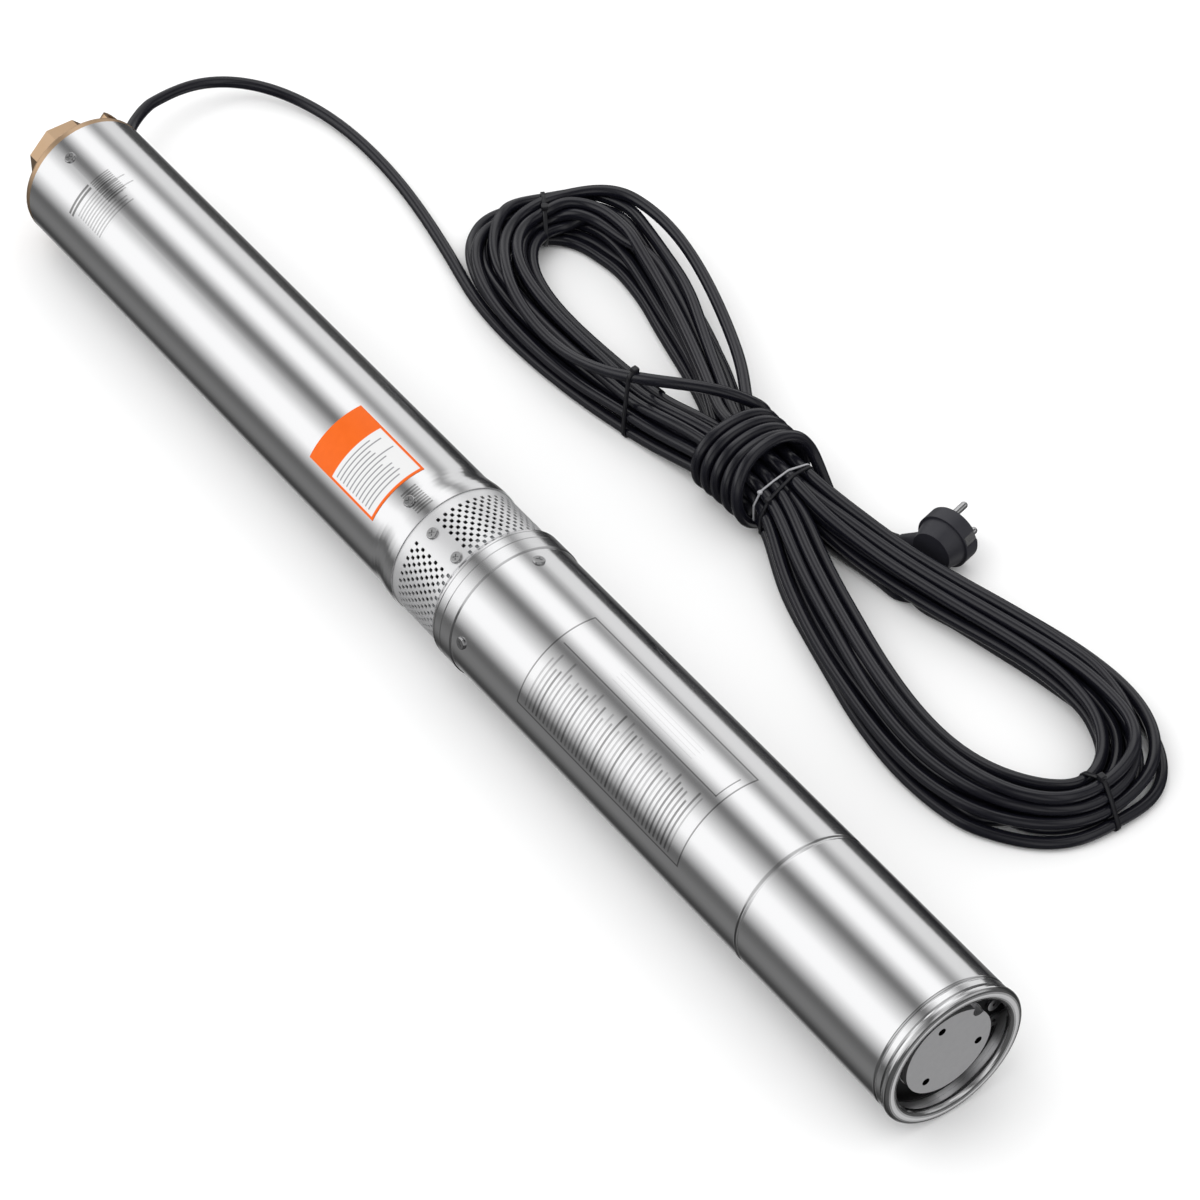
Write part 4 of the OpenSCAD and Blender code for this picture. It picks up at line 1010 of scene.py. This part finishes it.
# A patch on a tube is (first x, last x, first angle, last angle), in mm and degrees
def patch(x, angle, place, soft_x=0.5, soft_angle=0.6):
    """1 inside a patch of the tube and 0 outside it."""
    x0, x1, a0, a1 = place
    return x.between(x0, x1, soft_x) * angle.between(a0, a1, soft_angle)


def ruled(x, angle, place, pitch, share, across=True):
    """Ruled lines in a patch, running round the tube (across) or along it."""
    run, start = (x, place[0]) if across else (angle, place[2])
    saw = ((run - start) / pitch).math("FRACT")
    return patch(x, angle, place, 0.5, 0.7) * (1 - saw.above(share, 0.12))


def ragged(x, angle, start, pitch, spread, least, soft):
    """1 from a chance angle on, which differs from row to row."""
    row = ((x - start) / pitch).math("FLOOR")
    return (angle - (row.chance() * spread + least)).above(0.0, soft)


# %% [markdown]
# On the pump's shell fine print is etched near the head, and a small block of
# it above the strainer. Ruled lines of uneven length and strength stand for it.

# %% Pump shell
PRINT, PRINT_PITCH = (-392, -363, 92, 147), 2.9
# Blocks of even lines: the patch, the lines' pitch in mm, and how dark they are
BLOCKS = [
    ((-400, -376, 101, 120), 2.0, 0.6), ((-401, -394.5, 122, 151), 3.4, 1.0),
    ((-38, -17, 104, 119), 2.4, 0.7),
]
pump_steel = steel("pump_tube_steel")
x, angle, _ = pump_steel.round_axis()
lines = ruled(x, angle, PRINT, PRINT_PITCH, 0.45)
lines = lines * ragged(x, angle, PRINT[0], PRINT_PITCH, 26.0, 90.0, 1.2) * 0.5
for place, pitch, dark in BLOCKS:
    lines = lines + ruled(x, angle, place, pitch, 0.6) * dark
etched(pump_steel, lines.clamp(), 0.68)
dress(pump_steel, "pump_shell")
print("pump shell done")

# %% [markdown]
# The motor's data plate is etched straight into its shell: a frame, a divider
# with a riser at its end, rows of values on one side and faint lines along
# the tube on the other.

# %% Motor shell
FRAME_OUT, FRAME_IN = (121, 282, 77.2, 168.6), (122, 281, 78.4, 167.4)
DIVIDER, RISER = (126, 276.5, 109.0, 109.9), (275.8, 276.6, 88, 109.9)
ROWS_AT, ROW_PITCH = (128, 272, 112, 165), 3.66
FAINT = (168, 246, 92, 106)
motor_steel = steel("motor_tube_steel")
x, angle, _ = motor_steel.round_axis()
edge = patch(x, angle, FRAME_OUT) - patch(x, angle, FRAME_IN)
divider = patch(x, angle, DIVIDER, 0.5, 0.4) + patch(x, angle, RISER, 0.3, 0.4)
row = ((x - ROWS_AT[0]) / ROW_PITCH).math("FLOOR")
words = ruled(x, angle, ROWS_AT, ROW_PITCH, 0.42)
words = words * ragged(x, angle, ROWS_AT[0], ROW_PITCH, 14.0, 114.0, 1.2)
words = words * ((row + 40.0).chance() * 0.5 + 0.35)
faint = ruled(x, angle, FAINT, 3.6, 0.2, across=False) * 0.14
etched(motor_steel, (edge * 0.8 + divider * 0.8 + words + faint).clamp(), 0.78)
dress(motor_steel, "motor_shell")
print("motor shell done")

# %% [markdown]
# ## Other metals
# The ring, screws, guard and inner parts are the same steel with other tones.
# The strainer's etched sheet is dull, so it stays light where the tubes
# mirror the dark. The head is cast brass, turned and slightly tarnished, and
# the brackets are machined iron.

# %% Other steel
STAGES = range(1, 8)
dress(steel("turned_ring_steel", 0.78, 0.18), "motor_top_bracket")
# The screws' darker tone is painted shade: it stands in for the shade in their recesses and round
# their heads.
dress(steel("screw_steel", 0.5, 0.2, 0.2),
      "shell_screws", "strainer_screws", "ring_screws", "guard_rivets")
dress(steel("plain_steel", 0.62, 0.3, 0.2),
      "base_circlip", "valve_seat", spring, "pump_shaft", "motor_shaft", "shaft_coupling",
      "upper_bearing", "lower_bearing", *[f"stage_casing_{k}" for k in STAGES])
dress(steel("guard_steel", 0.72, 0.26), "cable_guard")
sheet_steel = steel("sheet_steel", 0.84, 0.42)
sheet_steel.set("Metallic", 0.8)
dress(sheet_steel, strainer)
print("steels done")

# %% Brass and iron
brass = Finish("turned_brass", Metallic=1.0)
marks = brass.noise(brass.stretched(1400.0, 20.0, 20.0), 1.0, 2.0)
tarnish = brass.noise(brass.place, 40.0, 4.0)
brass.set("Base Color", blend_colour(tarnish, (0.53, 0.35, 0.205), (0.64, 0.46, 0.31)))
brass.set("Roughness", marks * 0.1 + tarnish * 0.12 + 0.26)
brass.bump(marks, 0.00003, 0.4)
dress(brass, "discharge_head")

iron = Finish("machined_iron", Metallic=0.8)
grit = iron.noise(iron.place, 300.0, 4.0)
iron.vary(grit, (0.22, 0.23, 0.24), (0.34, 0.35, 0.36), 0.2, 0.4)
dress(iron, "inlet_bracket", "lower_bracket", "stator_core", "motor_rotor")
print("brass and iron done")

# %% [markdown]
# The end plate is satin metal with three blind holes. They are so small and
# deep that they show as black spots, so the material darkens them and the
# plate's edge, where the gap round it lies in shade.

# %% End plate
HOLE_TURNS, HOLE_AT, HOLE_R = (106, 226, 346), 22.0, 2.55
PLATE_EDGE = 30.3
BLACK = (0.006, 0.006, 0.007)
foot = Finish("foot_plate_metal", Metallic=0.9)
x, angle, radius = foot.round_axis()
swirl = foot.noise(foot.place, 220.0)
black = radius.above(PLATE_EDGE, 0.2)
turned_to = angle * (math.pi / 180)
for turn in HOLE_TURNS:
    hole_y, hole_z = (HOLE_AT * f(math.radians(turn)) for f in (math.cos, math.sin))
    across = (radius * turned_to.math("COSINE") - hole_y).math("POWER", 2.0)
    upright = (radius * turned_to.math("SINE") - hole_z).math("POWER", 2.0)
    black = black + (1 - (across + upright).math("SQRT").above(HOLE_R, 0.1))
satin = blend_colour(swirl, (0.54, 0.54, 0.55), (0.64, 0.64, 0.65))
foot.set("Base Color", blend_colour(black.clamp(), satin, BLACK))
foot.set("Roughness", swirl * 0.15 + 0.36)
dress(foot, "base_plate")
print("end plate done")

# %% [markdown]
# ## Windings, plastics and plated pins
# These hardly show from outside, but each has its own look in a cut-open
# view: enamelled copper wire, amber impellers, a pale valve guide and black
# rubbing parts. The plug's pins and earth clips are nickel plated.

# %% Copper and nickel
copper = Finish("enamelled_copper", Metallic=0.6)
wires = copper.noise(copper.stretched(40.0, 1500.0, 1500.0), 1.0, 2.0)
copper.vary(wires, (0.32, 0.10, 0.03), (0.55, 0.22, 0.08), 0.2, 0.3)
dress(copper, "stator_windings")

nickel = Finish("nickel_plate", Metallic=1.0)
wear = nickel.noise(nickel.place, 500.0, 2.0)
nickel.vary(wear, (0.62, 0.62, 0.63), (0.74, 0.74, 0.75), 0.1, 0.16)
dress(nickel, "plug_pins", "earth_clips")
print("copper and nickel done")

# %% Plastics
PLASTICS = [
    ("impeller_plastic", (0.6, 0.42, 0.14), (0.72, 0.52, 0.2), [f"impeller_{k}" for k in STAGES]),
    ("guide_plastic", (0.68, 0.65, 0.55), (0.78, 0.75, 0.65), ["valve_guide"]),
    ("black_plastic", (0.02, 0.02, 0.025), (0.035, 0.035, 0.04),
     ["valve_poppet", "shaft_bushes", "seal_seat", "seal_ring", "start_capacitor"]),
]
for name, dark, light, parts in PLASTICS:
    plastic = Finish(name)
    plastic.vary(plastic.noise(plastic.place, 120.0), dark, light, 0.12, 0.4)
    dress(plastic, *parts)
print("plastics done")

# %% [markdown]
# ## The label
# The label is a printed film: an orange field and border round a white panel
# with ruled lines.

# %% Label
PAPER, TEXT, TEXT_PITCH = (-89.8, -46, 92.2, 147.0), (-86.5, -49, 95, 144.5), 3.5
label = Finish("label_film", Roughness=0.35, Specular_IOR_Level=0.2)
x, angle, _ = label.round_axis()
lines = ruled(x, angle, TEXT, TEXT_PITCH, 0.3)
lines = lines * ragged(x, angle, TEXT[0], TEXT_PITCH, 18.0, 95.0, 0.8)
paper = blend_colour(lines, (0.68, 0.68, 0.68), (0.26, 0.26, 0.27))
grain = label.noise(label.place, 200.0, 2.0)
orange = blend_colour(grain, (0.70, 0.105, 0.004), (0.76, 0.125, 0.008))
label.set("Base Color", blend_colour(patch(x, angle, PAPER, 0.4, 0.6), orange, paper))
dress(label, "label_sticker")
print("label done")
